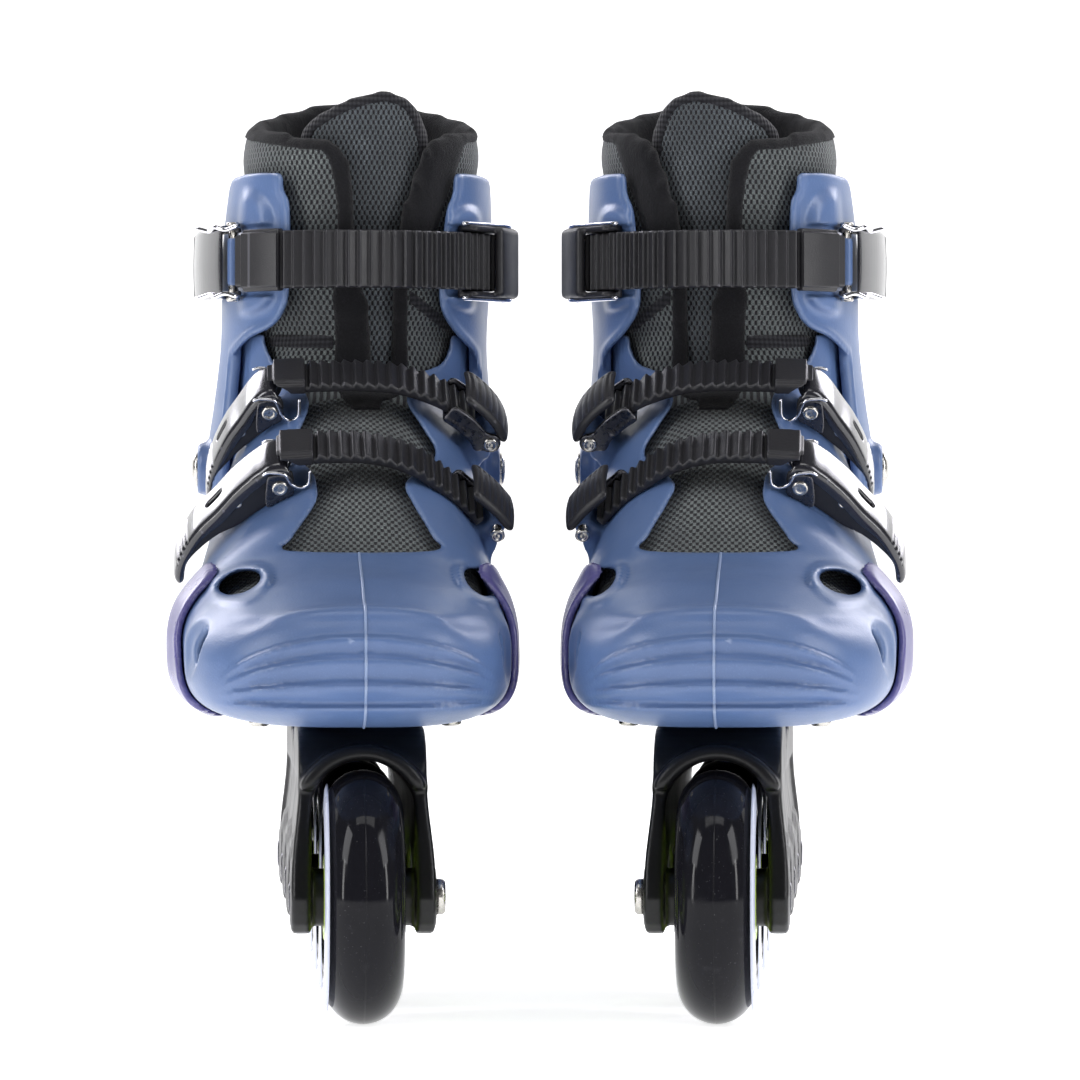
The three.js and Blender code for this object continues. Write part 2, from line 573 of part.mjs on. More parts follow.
// ---------------------------------------------------------------- one skate
// Every piece of a skate for the right foot, whose inner side is at +x.
const pieces = [
  ["shell", makeShell(), "shell"],
  ["side_guard", makeGuard(), "guard"],
  ["cuff", makeCuff(), "shell"],
  ["liner_boot", makeLinerBoot(), "mesh"],
  ["liner_collar", makeCollar(), "mesh"],
  ["tongue", makeTongue(), "mesh"],
  ["frame", makeFrame(), "frame"],
];
for (let i = 0; i < WHEEL.count; i++) {
  const halfStep = Math.PI / WHEEL.sides;
  pieces.push([`tyre_${i + 1}`, turned(TYRE, WHEEL.sides, axleY(i), AXLE_HEIGHT, halfStep), "tyre"]);
  pieces.push([`hub_${i + 1}`, turned(HUB, 10, axleY(i), AXLE_HEIGHT), "hub"]);
  pieces.push([`axle_${i + 1}`, makeAxle(i), "steel"]);
}
for (const buckle of [TOE_BUCKLE, MID_BUCKLE, TOP_BUCKLE]) {
  pieces.push([`${buckle.name}_strap`, makeStrap(buckle), "black_plastic"]);
  pieces.push([`${buckle.name}_lever`, makeLever(buckle), "black_plastic"]);
  pieces.push([`${buckle.name}_receiver`, makeReceiver(buckle), "black_plastic"]);
  if (buckle.release) pieces.push([`${buckle.name}_release`, makeRelease(buckle), "black_plastic"]);
}

function makeSkate(side) {
  const skate = new THREE.Group();
  for (const [name, made, material] of pieces) skate.add(part(`${side}_${name}`, made, material));
  skate.position.x = -PAIR_HALF_GAP;
  skate.rotation.z = TOE_IN;
  return skate;
}

const pair = new THREE.Group();
pair.add(makeSkate("right"));
const mirror = new THREE.Group();
mirror.scale.x = -1;
mirror.add(makeSkate("left"));
pair.add(mirror);

export default pair;
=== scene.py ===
"""A pair of four-wheel inline skates: the looks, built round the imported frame.

One skate, for the right foot, is shaped in its own frame, in mm: x from the outer side of the foot to
the inner side, y from the toe to the heel, z up from the ground. Both skates are then placed by their
wheels' joints, the left one mirrored. Most shapes are kept as distances to their surfaces on a block of
points, which rounds every edge.
"""

import json
import math

import bpy
import numpy as np
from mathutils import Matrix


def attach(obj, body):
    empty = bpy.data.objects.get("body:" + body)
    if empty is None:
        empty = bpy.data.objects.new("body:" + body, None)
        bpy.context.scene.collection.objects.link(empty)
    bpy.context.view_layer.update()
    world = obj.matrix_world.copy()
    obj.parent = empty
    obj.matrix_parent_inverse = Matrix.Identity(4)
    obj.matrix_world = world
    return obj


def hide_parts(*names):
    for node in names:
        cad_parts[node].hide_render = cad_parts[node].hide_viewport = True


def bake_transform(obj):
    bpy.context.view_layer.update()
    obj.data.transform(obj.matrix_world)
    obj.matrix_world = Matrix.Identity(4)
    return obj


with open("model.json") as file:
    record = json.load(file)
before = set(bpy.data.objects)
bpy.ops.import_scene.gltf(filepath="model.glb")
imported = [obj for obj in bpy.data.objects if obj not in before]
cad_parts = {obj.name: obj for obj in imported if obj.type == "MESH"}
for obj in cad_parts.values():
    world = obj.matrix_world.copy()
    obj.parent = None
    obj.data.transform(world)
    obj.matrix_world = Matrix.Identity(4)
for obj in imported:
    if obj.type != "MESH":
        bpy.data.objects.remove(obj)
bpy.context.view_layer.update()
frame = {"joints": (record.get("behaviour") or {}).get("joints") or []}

import openvdb
from mathutils import Matrix, Vector

MM = 0.001
COARSE = 1.0  # how much wider apart the points are while trying things

# ---------------------------------------------------------------- camera, light and floor
CAMERA_DISTANCE = 1.82
CAMERA_HEIGHT = 0.1448
CAMERA_LENS = 189.4


def make_camera():
    data = bpy.data.cameras.new("camera")
    data.lens = CAMERA_LENS
    data.sensor_width = 36
    data.clip_end = 50
    camera = bpy.data.objects.new("camera", data)
    camera.location = (0, -CAMERA_DISTANCE, CAMERA_HEIGHT)
    camera.rotation_euler = (math.radians(90), 0, 0)
    bpy.context.scene.collection.objects.link(camera)
    bpy.context.scene.camera = camera


def add_light(name, at, target, size, power, tint=(1, 1, 1)):
    data = bpy.data.lights.new(name, "AREA")
    data.shape = "RECTANGLE"
    data.size, data.size_y = size
    data.energy = power
    data.color = tint
    light = bpy.data.objects.new(name, data)
    light.location = at
    light.rotation_euler = (Vector(target) - Vector(at)).to_track_quat("-Z", "Y").to_euler()
    bpy.context.scene.collection.objects.link(light)


def make_studio():
    """A pale floor that curves up into a wall, a pale sky, and soft lights on both sides."""
    size, behind, radius = 6.0, 2.2, 0.9
    profile = [(-size, 0), (behind, 0)]
    for i in range(1, 13):
        turn = math.pi / 2 * i / 12
        profile.append((behind + radius * math.sin(turn), radius * (1 - math.cos(turn))))
    profile.append((behind + radius, 4.0))
    points = [(x, y, z) for y, z in profile for x in (-size, size)]
    faces = [(2 * i, 2 * i + 1, 2 * i + 3, 2 * i + 2) for i in range(len(profile) - 1)]
    mesh = bpy.data.meshes.new("floor")
    mesh.from_pydata(points, [], faces)
    floor = bpy.data.objects.new("floor", mesh)
    bpy.context.scene.collection.objects.link(floor)
    for face in mesh.polygons:
        face.use_smooth = True
    material = bpy.data.materials.new("floor_paper")
    material.use_nodes = True
    paper = material.node_tree.nodes["Principled BSDF"]
    paper.inputs["Base Color"].default_value = (0.9, 0.9, 0.9, 1)
    paper.inputs["Roughness"].default_value = 0.8
    paper.inputs["Emission Color"].default_value = (1, 1, 1, 1)
    paper.inputs["Emission Strength"].default_value = 0.8
    mesh.materials.append(material)

    world = bpy.data.worlds.new("sky")
    bpy.context.scene.world = world
    world.use_nodes = True
    world.node_tree.nodes["Background"].inputs["Color"].default_value = (1, 1, 1, 1)
    world.node_tree.nodes["Background"].inputs["Strength"].default_value = 0.1
    middle = (0, 0, 0.15)
    for side in (-1, 1):
        add_light(f"key_{side}", (1.2 * side, -0.6, 1.05), middle, (0.5, 0.8), 8, (0.97, 0.97, 1))
        outer_top = (0.12 * side, 0, 0.2)
        add_light(f"rim_{side}", (1.0 * side, 1.15, 1.05), outer_top, (0.5, 0.8), 9, (0.93, 0.91, 1))
        add_light(f"strip_{side}", (1.15 * side, -0.62, 0.32), (0, 0, 0.06), (0.12, 0.58), 2.6)
    add_light("top", (0, -0.35, 1.6), middle, (1.2, 0.5), 4.5)
    bpy.context.scene.view_settings.view_transform = "Standard"


make_camera()
make_studio()

# ---------------------------------------------------------------- where each skate stands
JOINTS = {j["name"]: j for j in frame["joints"]}
WHEEL_COUNT = 4


def placement(side):
    """The matrix from a skate's own frame, in mm, to the row frame, in metres."""
    first = Vector(JOINTS[f"{side}_wheel_1_spin"]["pos_m"])
    last = Vector(JOINTS[f"{side}_wheel_{WHEEL_COUNT}_spin"]["pos_m"])
    along = (last - first).normalized()
    up = Vector((0, 0, 1))
    inward = along.cross(up)
    middle = (first + last) / 2
    if inward.x * middle.x > 0:
        inward = -inward
    middle.z = 0
    turn = Matrix((inward, along, up)).transposed().to_4x4()
    return Matrix.Translation(middle) @ turn @ Matrix.Scale(MM, 4)


PLACES = {side: placement(side) for side in ("right", "left")}
AXLE_Y = [(i - (WHEEL_COUNT - 1) / 2) * 80.0 for i in range(WHEEL_COUNT)]
AXLE_Z = 38.0


# ---------------------------------------------------------------- smooth tables
def through(*points):
    """A smooth curve through (position, value) pairs, with level ends."""
    at, value = np.array(points, float).T
    slope = np.zeros_like(value)
    slope[1:-1] = (value[2:] - value[:-2]) / (at[2:] - at[:-2])

    def curve(x):
        x = np.clip(x, at[0], at[-1])
        i = np.clip(np.searchsorted(at, x, side="right") - 1, 0, len(at) - 2)
        h = at[i + 1] - at[i]
        t = (x - at[i]) / h
        s = 1 - t
        rise = h * t * s * (slope[i] * s - slope[i + 1] * t)
        return value[i] * s * s * (1 + 2 * t) + value[i + 1] * t * t * (3 - 2 * t) + rise

    return curve


def round_end(share, power):
    """How far a round end has closed in at a share of its depth: 1 at its root and 0 at its tip."""
    return np.maximum(0, 1 - np.maximum(share, 0) ** power) ** (1 / power)


def step_up(x, low, high):
    """0 below low, 1 above high, smooth between."""
    t = np.clip((x - low) / (high - low), 0, 1)
    return t * t * (3 - 2 * t)


# ---------------------------------------------------------------- the boot's surfaces
TOE_TIP, TOE_ROOT, TOE_CREASE, TOE_SOLE = -152, -95, -139, -128
HEEL_TIP, HEEL_ROOT = 118, 80
END_POWER, SOLE_POWER = 2.5, 3.5
outer_half = through((-95, 53.5), (-70, 55), (-30, 52.5), (0, 47), (30, 42.5), (60, 40.5), (90, 39))
inner_half = through((-95, 45.6), (-70, 45.4), (-30, 44.8), (0, 44.5), (30, 44), (60, 43.5), (90, 42))
waist = through((-152, 106), (-95, 112), (-45, 116), (0, 122), (50, 125), (118, 122))
instep = through(
    (-139, 124.7), (-110, 133), (-75, 142), (-60, 153.5), (-45, 165.5), (-30, 175),
    (-15, 184.5), (0, 193), (15, 199), (40, 193), (80, 170), (112, 158),
)
sole = through((-45, 89), (40, 98))
outer_shoulder = through((-75, 2.3), (-50, 1.6), (-38, 1.5), (-20, 1.8), (0, 2.2), (20, 2.4))
inner_shoulder = through((-75, 2.4), (-50, 2.15), (-30, 2.1), (0, 2.5), (20, 2.8))
ankle_x = through((150, 0.5), (170, 0.5), (190, 1.5), (210, 2), (240, 3), (265, 4), (300, 5))
ankle_y = through((150, 61), (170, 61), (190, 58.5), (210, 56), (240, 53), (265, 50), (300, 47))
ankle_half = through(
    (150, 47.5), (170, 47.3), (190, 45.5), (210, 43.8), (240, 44.3), (265, 42.5), (300, 39),
)
ankle_depth = through((150, 58.5), (170, 57), (190, 52.5), (210, 49.5), (240, 48), (265, 46.5), (300, 43))


def foot_point(y, turn):
    """Points of the boot's outer surface at lengths y and angles turn round the foot."""
    back = round_end((y - HEEL_ROOT) / (HEEL_TIP - HEEL_ROOT), END_POWER)
    ends = round_end((TOE_ROOT - y) / (TOE_ROOT - TOE_TIP), END_POWER) * back
    middle = waist(y)
    above = (instep(y) - middle) * round_end((TOE_CREASE - y) / (TOE_CREASE - TOE_TIP), 2) * back
    below = (middle - sole(y)) * round_end((TOE_SOLE - y) / (TOE_SOLE - TOE_TIP), 2) * back
    c, s = np.cos(turn), np.sin(turn)
    side = np.where(c < 0, outer_half(y), inner_half(y))
    power = np.where(s < 0, SOLE_POWER, np.where(c < 0, outer_shoulder(y), inner_shoulder(y)))
    x = side * ends * np.sign(c) * np.abs(c) ** (2 / power)
    z = np.where(s < 0, below, above) * np.sign(s) * np.abs(s) ** (2 / power)
    return np.stack([x, y + 0 * x, middle + z], -1)


def ankle_point(z, turn):
    """Points of the cuff's outer surface, by height and by turn round the ankle from the inner side."""
    x = ankle_x(z) + np.cos(turn) * ankle_half(z)
    y = ankle_y(z) + np.sin(turn) * ankle_depth(z)
    return np.stack([x, y, z + 0 * x], -1)


def ring_quads(rows, around, wrap=True):
    """Quads that join rows of points; the rows close on themselves where wrap is set."""
    i = np.arange(rows - 1)[:, None] * around
    j = np.arange(around if wrap else around - 1)[None, :]
    k = (j + 1) % around
    return np.stack([i + j, i + k, i + around + k, i + around + j], -1).reshape(-1, 4)


# ---------------------------------------------------------------- shapes as distances on a block of points
class Block:
    """A block of evenly spaced points in some frame, in mm. Distances are negative inside a shape."""

    def __init__(self, low, high, step):
        self.low = np.array(low, float)
        self.step = step * COARSE
        self.shape = tuple(int(math.ceil((h - l) / self.step)) + 1 for l, h in zip(low, high))
        lines = []
        for axis, count in enumerate(self.shape):
            line = (self.low[axis] + self.step * np.arange(count)).astype(np.float32)
            lines.append(line.reshape([-1 if k == axis else 1 for k in range(3)]))
        self.x, self.y, self.z = lines

    def distance(self, points, quads, band):
        """The distance to a closed mesh, true within band."""
        grid = openvdb.FloatGrid.createLevelSetFromPolygons(
            np.ascontiguousarray(points - self.low, np.float32),
            quads=np.ascontiguousarray(quads, np.uint32),
            transform=openvdb.createLinearTransform(self.step),
            halfWidth=band / self.step,
        )
        field = np.empty(self.shape, np.float32)
        grid.copyToArray(field)
        return field

    def read(self, field, x, y, z):
        """The field's value at any points, by linear steps between the block's points."""
        spots, shares = [], []
        for value, low, count in zip((x, y, z), self.low, self.shape):
            place = np.clip((value - low) / self.step, 0, count - 1.001)
            spots.append(place.astype(np.int32))
            shares.append(place - spots[-1])
        total = 0
        for corner in range(8):
            bits = [(corner >> k) & 1 for k in range(3)]
            weight = 1
            for bit, share in zip(bits, shares):
                weight = weight * (share if bit else 1 - share)
            total = total + weight * field[tuple(s + b for s, b in zip(spots, bits))]
        return total

    def slope(self, field, points):
        """The direction in which the field rises, at points."""
        reach = self.step
        rise = []
        for axis in range(3):
            shift = np.zeros(3)
            shift[axis] = reach
            rise.append(self.read(field, *(points + shift).T) - self.read(field, *(points - shift).T))
        rise = np.stack(rise, -1)
        return rise / np.maximum(np.linalg.norm(rise, axis=-1, keepdims=True), 1e-9)

    def snap(self, field, points, lift=0.0):
        """Points moved onto the surface that lies lift outside the field's own."""
        points = np.array(points, float).reshape(-1, 3)
        for _ in range(8):
            gap = self.read(field, *points.T) - lift
            points = points - self.slope(field, points) * gap[:, None]
        return points

    def mesh(self, field):
        """(points, quads) of the surface where the field is 0, with the faces pointing out."""
        grid = openvdb.FloatGrid(3.0)
        grid.copyFromArray(np.ascontiguousarray(field, np.float32))
        points, quads = grid.convertToQuads(0.0)
        points = np.array(points, float) * self.step + self.low
        return points, outward(points, np.array(quads, np.int64))


def outward(points, quads):
    """The faces, turned over if they enclose a negative volume."""
    a, b, c = (points[quads[:, k]] for k in (0, 1, 2))
    d = points[quads[:, 3]]
    volume = (a * np.cross(b, c)).sum() + (a * np.cross(c, d)).sum()
    return quads if volume > 0 else quads[:, ::-1]


def meet(a, b, soft=1.0):
    """What lies inside both shapes, with its edges rounded over soft mm."""
    h = np.maximum(soft - np.abs(a - b), 0) / soft
    return np.maximum(a, b) + h * h * soft / 4


def join(a, b, soft=1.0):
    """What lies inside either shape, with a fillet."""
    return -meet(-a, -b, soft)


def cut(a, b, soft=1.0):
    return meet(a, -b, soft)


def line_points(points, closed=False, steps=8):
    """A smooth line through 2-D points, as a longer list of points."""
    p = np.array(points, float)
    if closed:
        p = np.vstack([p[-1], p, p[0], p[1]])
    else:
        p = np.vstack([2 * p[0] - p[1], p, 2 * p[-1] - p[-2]])
    t = np.arange(steps)[:, None] / steps
    out = []
    for a, b, c, d in zip(p[:-3], p[1:-2], p[2:-1], p[3:]):
        out.append(0.5 * (2 * b + (c - a) * t + (2 * a - 5 * b + 4 * c - d) * t**2
                          + (3 * b - a - 3 * c + d) * t**3))
    if not closed:
        out.append(p[-2:-1])
    return np.vstack(out)


def outline(points, a, b, smooth=False):
    """The distance to a closed outline drawn in the plane of the coordinates a and b, which may broadcast."""
    p = line_points(points, closed=True, steps=5) if smooth else np.array(points, float)
    nearest, inside = None, None
    for (a0, b0), (a1, b1) in zip(p, np.roll(p, -1, 0)):
        da, db = a1 - a0, b1 - b0
        t = np.clip(((a - a0) * da + (b - b0) * db) / max(da * da + db * db, 1e-9), 0, 1)
        gap = (a - a0 - t * da) ** 2 + (b - b0 - t * db) ** 2
        crosses = ((b0 > b) != (b1 > b)) & (a < a0 + (b - b0) * da / (db if abs(db) > 1e-9 else 1e-9))
        nearest = gap if nearest is None else np.minimum(nearest, gap)
        inside = crosses if inside is None else inside ^ crosses
    return np.where(inside, -1, 1) * np.sqrt(nearest)


def oval(a, b, at, half, lean=0.0):
    """The distance to an oval in the plane of a and b."""
    c, s = math.cos(lean), math.sin(lean)
    p = ((a - at[0]) * c + (b - at[1]) * s) / half[0]
    q = ((b - at[1]) * c - (a - at[0]) * s) / half[1]
    size = np.sqrt(p * p + q * q)
    reach = np.hypot(a - at[0], b - at[1])
    return reach * (1 - 1 / np.maximum(size, 1e-3))


class Line:
    """A smooth line in a plane, which gives each point's place along it and its offset to the line's left."""

    def __init__(self, points):
        self.points = line_points(points, steps=10)
        spans = np.linalg.norm(np.diff(self.points, axis=0), axis=1)
        self.lengths = np.concatenate([[0], np.cumsum(spans)])
        self.length = self.lengths[-1]

    def at(self, along, out=0.0):
        """The point a length along the line, moved out to its left."""
        i = int(np.clip(np.searchsorted(self.lengths, along) - 1, 0, len(self.points) - 2))
        step = self.points[i + 1] - self.points[i]
        unit = step / np.linalg.norm(step)
        return self.points[i] + unit * (along - self.lengths[i]) + np.array([-unit[1], unit[0]]) * out

    def measure(self, a, b):
        best, along, out = None, None, None
        last = len(self.points) - 2
        for i, (p, q) in enumerate(zip(self.points[:-1], self.points[1:])):
            step = q - p
            size = np.linalg.norm(step)
            unit = step / size
            t = (a - p[0]) * unit[0] + (b - p[1]) * unit[1]
            held = np.clip(t, -1e3 if i == 0 else 0, 1e3 if i == last else size)
            side = -(a - p[0]) * unit[1] + (b - p[1]) * unit[0]
            gap = (t - held) ** 2 + side**2
            signed = np.sign(side) * np.sqrt(gap)
            if best is None:
                best, along, out = gap, self.lengths[i] + held, signed
            else:
                near = gap < best
                best = np.where(near, gap, best)
                along = np.where(near, self.lengths[i] + held, along)
                out = np.where(near, signed, out)
        return along, out


# ---------------------------------------------------------------- meshes and pieces
def new_mesh(name, points, faces, smooth=True):
    """A mesh from points and an array of faces that all have the same number of corners."""
    mesh = bpy.data.meshes.new(name)
    corners = faces.shape[1]
    mesh.vertices.add(len(points))
    mesh.vertices.foreach_set("co", np.ascontiguousarray(points, np.float32).ravel())
    mesh.loops.add(faces.size)
    mesh.loops.foreach_set("vertex_index", np.ascontiguousarray(faces, np.int32).ravel())
    mesh.polygons.add(len(faces))
    mesh.polygons.foreach_set("loop_start", np.arange(0, faces.size, corners, dtype=np.int32))
    mesh.update(calc_edges=True)
    mesh.validate()
    mesh.polygons.foreach_set("use_smooth", np.full(len(mesh.polygons), smooth))
    return mesh


def join_meshes(parts):
    """Several (points, quads) as one."""
    points, quads, count = [], [], 0
    for p, q in parts:
        points.append(p)
        quads.append(q + count)
        count += len(p)
    return np.vstack(points), np.vstack(quads)


def add_piece(name, shape, material, body, replaces=(), layers=None, smooth=True, ride=True):
    """A piece on each skate from one (points, quads) in a skate's own frame; returns both objects by side."""
    points, quads = shape
    made = {}
    for side, place in PLACES.items():
        matrix = np.array(place)
        placed = points @ matrix[:3, :3].T + matrix[:3, 3]
        faces = quads if np.linalg.det(matrix[:3, :3]) > 0 else quads[:, ::-1]
        mesh = new_mesh(f"{side}_{name}", placed, faces, smooth)
        for layer, values in (layers or {}).items():
            kind = "FLOAT_VECTOR" if values.ndim == 2 else "FLOAT"
            data = mesh.attributes.new(layer, kind, "POINT").data
            data.foreach_set("vector" if values.ndim == 2 else "value", values.astype(np.float32).ravel())
        mesh.materials.append(material)
        piece = bpy.data.objects.new(f"{side}_{name}", mesh)
        bpy.context.scene.collection.objects.link(piece)
        if ride:
            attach(piece, f"{side}_{body}")
        if replaces:
            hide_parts(*[f"{side}_{node}" for node in replaces])
        made[side] = piece
    return made


def turned(profile, sides=96, at=(0, 0, 0), hexagon=()):
    """A turned solid about x from (x, radius) points; the rows listed in hexagon are six-sided."""
    turn = 2 * math.pi * np.arange(sides) / sides
    facet = (turn + math.pi / 6) % (math.pi / 3) - math.pi / 6
    rows = []
    for i, (x, radius) in enumerate(profile):
        r = radius / np.cos(facet) if i in hexagon else radius + 0 * turn
        rows.append(np.stack([x + 0 * turn, r * np.cos(turn), r * np.sin(turn)], -1))
    points = np.vstack(rows) + np.array(at)
    quads = ring_quads(len(profile), sides)
    return points, outward(points, quads)


def wire(points, radius, sides=10, closed=False, smooth=True):
    """A round wire along a smooth line through 3-D points, with rounded ends."""
    p = np.array(points, float)
    if smooth:
        lines = [line_points(p[:, [k, k]], closed=closed, steps=6)[:, 0] for k in range(3)]
        p = np.stack(lines, -1)
    count = len(p)
    ahead = np.roll(p, -1, 0) - np.roll(p, 1, 0)
    if not closed:
        ahead[0], ahead[-1] = p[1] - p[0], p[-1] - p[-2]
    ahead /= np.linalg.norm(ahead, axis=1, keepdims=True)
    side = np.cross(ahead[0], [0.3, 0.5, 0.81])
    rings = []
    for i in range(count):
        side = side - ahead[i] * (side @ ahead[i])
        side /= np.linalg.norm(side)
        other = np.cross(ahead[i], side)
        turn = 2 * math.pi * np.arange(sides) / sides
        ring = np.outer(np.cos(turn), side) + np.outer(np.sin(turn), other)
        rings.append(p[i] + radius * ring)
    if not closed:
        for end, way in ((0, -1), (-1, 1)):
            centre, ring = p[end], rings[end] - p[end]
            caps = [centre + ring * c + ahead[end] * way * radius * s for c, s in ((0.7, 0.7), (0.02, 1.0))]
            rings = [caps[1], caps[0]] + rings if end == 0 else rings + caps
    rows = len(rings)
    points = np.vstack(rings)
    quads = ring_quads(rows, sides)
    if closed:
        j = np.arange(sides)
        k = (j + 1) % sides
        last = (rows - 1) * sides
        quads = np.vstack([quads, np.stack([last + j, last + k, k, j], -1)])
    return points, outward(points, quads)


# ---------------------------------------------------------------- materials
def set_inputs(node, **values):
    for key, value in values.items():
        name = key.replace("_", " ").title().replace("Ior", "IOR")
        if isinstance(value, tuple) and len(value) == 3:
            value = (*value, 1)
        node.inputs[name].default_value = value


class Shader:
    """A node material with short names for the nodes that these surfaces use."""

    def __init__(self, name, colour, roughness, **more):
        self.material = bpy.data.materials.new(name)
        self.material.use_nodes = True
        self.nodes = self.material.node_tree.nodes
        self.links = self.material.node_tree.links
        self.out = self.nodes["Principled BSDF"]
        set_inputs(self.out, base_color=colour, roughness=roughness, **more)
        self.coords = self.nodes.new("ShaderNodeTexCoord").outputs["Object"]

    def node(self, kind, inputs=None, **settings):
        made = self.nodes.new(kind)
        for key, value in settings.items():
            setattr(made, key, value)
        for key, value in (inputs or {}).items():
            if isinstance(value, bpy.types.NodeSocket):
                self.links.new(value, made.inputs[key])
            else:
                made.inputs[key].default_value = value
        return made

    def math(self, operation, a, b=0.0):
        return self.node("ShaderNodeMath", {0: a, 1: b}, operation=operation).outputs[0]

    def noise(self, size, detail=2.0, roughness=0.5, coords=None):
        """Noise whose lumps are about size metres apart."""
        inputs = {
            "Vector": coords or self.coords, "Scale": 1 / size, "Detail": detail, "Roughness": roughness,
        }
        return self.node("ShaderNodeTexNoise", inputs).outputs["Fac"]

    def ramp(self, value, low, high, start=0.0, end=1.0):
        inputs = {"Value": value, "From Min": low, "From Max": high, "To Min": start, "To Max": end}
        return self.node("ShaderNodeMapRange", inputs, interpolation_type="SMOOTHSTEP").outputs[0]

    def mix(self, share, a, b):
        made = self.node("ShaderNodeMix", data_type="RGBA")
        for socket, value in ((made.inputs[0], share), (made.inputs[6], a), (made.inputs[7], b)):
            if isinstance(value, bpy.types.NodeSocket):
                self.links.new(value, socket)
            else:
                socket.default_value = (*value, 1) if isinstance(value, tuple) else value
        return made.outputs[2]

    def attribute(self, name):
        return self.node("ShaderNodeAttribute", attribute_name=name)

    def edge_wear_and_highlight_share(self, share=0.5):
        """How much an edge stands out, for the lighter colour along it: partly scuffing, partly a painted
        highlight.
        """
        pointiness = self.node("ShaderNodeNewGeometry").outputs["Pointiness"]
        return self.math("MULTIPLY", self.ramp(pointiness, 0.53, 0.62), share)

    def colour(self, socket):
        self.links.new(socket, self.out.inputs["Base Color"])

    def rough(self, socket):
        self.links.new(socket, self.out.inputs["Roughness"])

    def bump(self, height, depth, strength=1.0):
        """Relief of that depth in metres; a second call adds to the first."""
        made = self.node("ShaderNodeBump", {"Height": height, "Distance": depth, "Strength": strength})
        before = self.out.inputs["Normal"].links
        if before:
            self.links.new(before[0].from_socket, made.inputs["Normal"])
        self.links.new(made.outputs[0], self.out.inputs["Normal"])


def darker(colour, share):
    return tuple(c * share for c in colour)


def moulded(name, colour, roughness, grain=0.0007, depth=0.00006, edge_wear_and_highlight=(0.5, 0.5, 0.5), edge_wear_and_highlight_share=0.2, **more):
    """Moulded plastic: a spark-eroded grain, a faint flow in the colour and the gloss, and edges painted
    lighter, partly as rubbing and partly as a painted highlight.
    """
    s = Shader(name, colour, roughness, **more)
    flow = s.noise(0.035, 3)
    speck = s.noise(grain * 0.8, 1)
    body = s.mix(s.ramp(flow, 0.3, 0.7), darker(colour, 0.9), colour)
    body = s.mix(s.ramp(speck, 0.55, 0.8, 0, 0.25), body, tuple(min(1, c * 1.35 + 0.01) for c in colour))
    # The edges' lighter colour is partly scuffing and partly a painted highlight on the edges.
    s.colour(s.mix(s.edge_wear_and_highlight_share(edge_wear_and_highlight_share), body, edge_wear_and_highlight))
    s.rough(s.ramp(s.noise(0.012, 4), 0.3, 0.7, roughness * 0.88, roughness * 1.12))
    s.bump(s.noise(grain, 2), depth)
    return s.material


def woven(name, thread, hole, lighter, pitch=0.0019, depth=0.0005):
    """Open spacer mesh: round holes in staggered rows between twisted threads, over a darker ground."""
    s = Shader(name, thread, 0.75, sheen_weight=0.25, sheen_roughness=0.5, specular_ior_level=0.35)
    place = s.node("ShaderNodeSeparateXYZ", {"Vector": s.attribute("weave").outputs["Vector"]})
    across, up = place.outputs[0], place.outputs[1]
    wobble = s.math("MULTIPLY", s.math("SUBTRACT", s.noise(0.004, 2), 0.5), 0.0006)
    across = s.math("ADD", across, wobble)
    turn = 2 * math.pi / (pitch * 1.15)
    rise = 2 * math.pi / (pitch * 1.7)
    a = s.math("ADD", s.math("MULTIPLY", across, turn), s.math("MULTIPLY", up, rise))
    b = s.math("SUBTRACT", s.math("MULTIPLY", across, turn), s.math("MULTIPLY", up, rise))
    waves = s.math("ADD", s.math("COSINE", a), s.math("COSINE", b))
    threads = s.ramp(waves, 0.75, -0.35)
    fibre = s.math("MULTIPLY", s.noise(0.00025, 2), threads)
    patches = s.ramp(s.noise(0.02, 3), 0.35, 0.7)
    lit = s.mix(patches, thread, lighter)
    lit = s.mix(s.ramp(fibre, 0.35, 0.75), darker(thread, 0.55), lit)
    s.colour(s.mix(threads, hole, lit))
    s.bump(threads, depth, 0.9)
    s.bump(fibre, 0.00015, 0.5)
    return s.material


def fleece(name, colour, tip):
    """Short-piled fleece: fine fibres that catch the light at their tips."""
    s = Shader(name, colour, 0.95, sheen_weight=0.15, sheen_roughness=0.6, specular_ior_level=0.12)
    fibres = s.noise(0.0006, 4, 0.75)
    tufts = s.noise(0.003, 3)
    s.colour(s.mix(s.ramp(fibres, 0.5, 0.75), colour, tip))
    s.bump(s.math("ADD", fibres, s.math("MULTIPLY", tufts, 0.6)), 0.0006, 0.8)
    return s.material


def webbing(name, colour, tip, pitch=0.0016):
    """Ribbed binding tape: fine cords that run across it."""
    s = Shader(name, colour, 0.8, sheen_weight=0.2, sheen_roughness=0.5, specular_ior_level=0.25)
    place = s.node("ShaderNodeSeparateXYZ", {"Vector": s.attribute("weave").outputs["Vector"]})
    cords = s.math("SINE", s.math("MULTIPLY", place.outputs[1], 2 * math.pi / pitch))
    twill = s.math("SINE", s.math("MULTIPLY", place.outputs[0], 2 * math.pi / (pitch * 1.1)))
    both = s.math("ADD", cords, s.math("MULTIPLY", twill, 0.6))
    s.colour(s.mix(s.ramp(s.math("ADD", both, s.noise(0.0007, 3)), -0.4, 1.8), colour, tip))
    s.bump(both, 0.00018, 0.6)
    s.bump(s.noise(0.0004, 3), 0.00015, 0.5)
    return s.material


def metal(name, colour, roughness, brushed=0.00004, grime=(0.12, 0.11, 0.1)):
    """Plated steel with a fine drawn grain and a little grime."""
    s = Shader(name, colour, roughness, metallic=1.0)
    s.colour(s.mix(s.ramp(s.noise(0.0035, 4), 0.55, 0.85, 0, 0.5), colour, grime))
    s.rough(s.ramp(s.noise(0.0015, 3), 0.3, 0.75, roughness * 0.7, roughness * 1.5))
    s.bump(s.noise(0.0004, 3), brushed, 0.5)
    return s.material


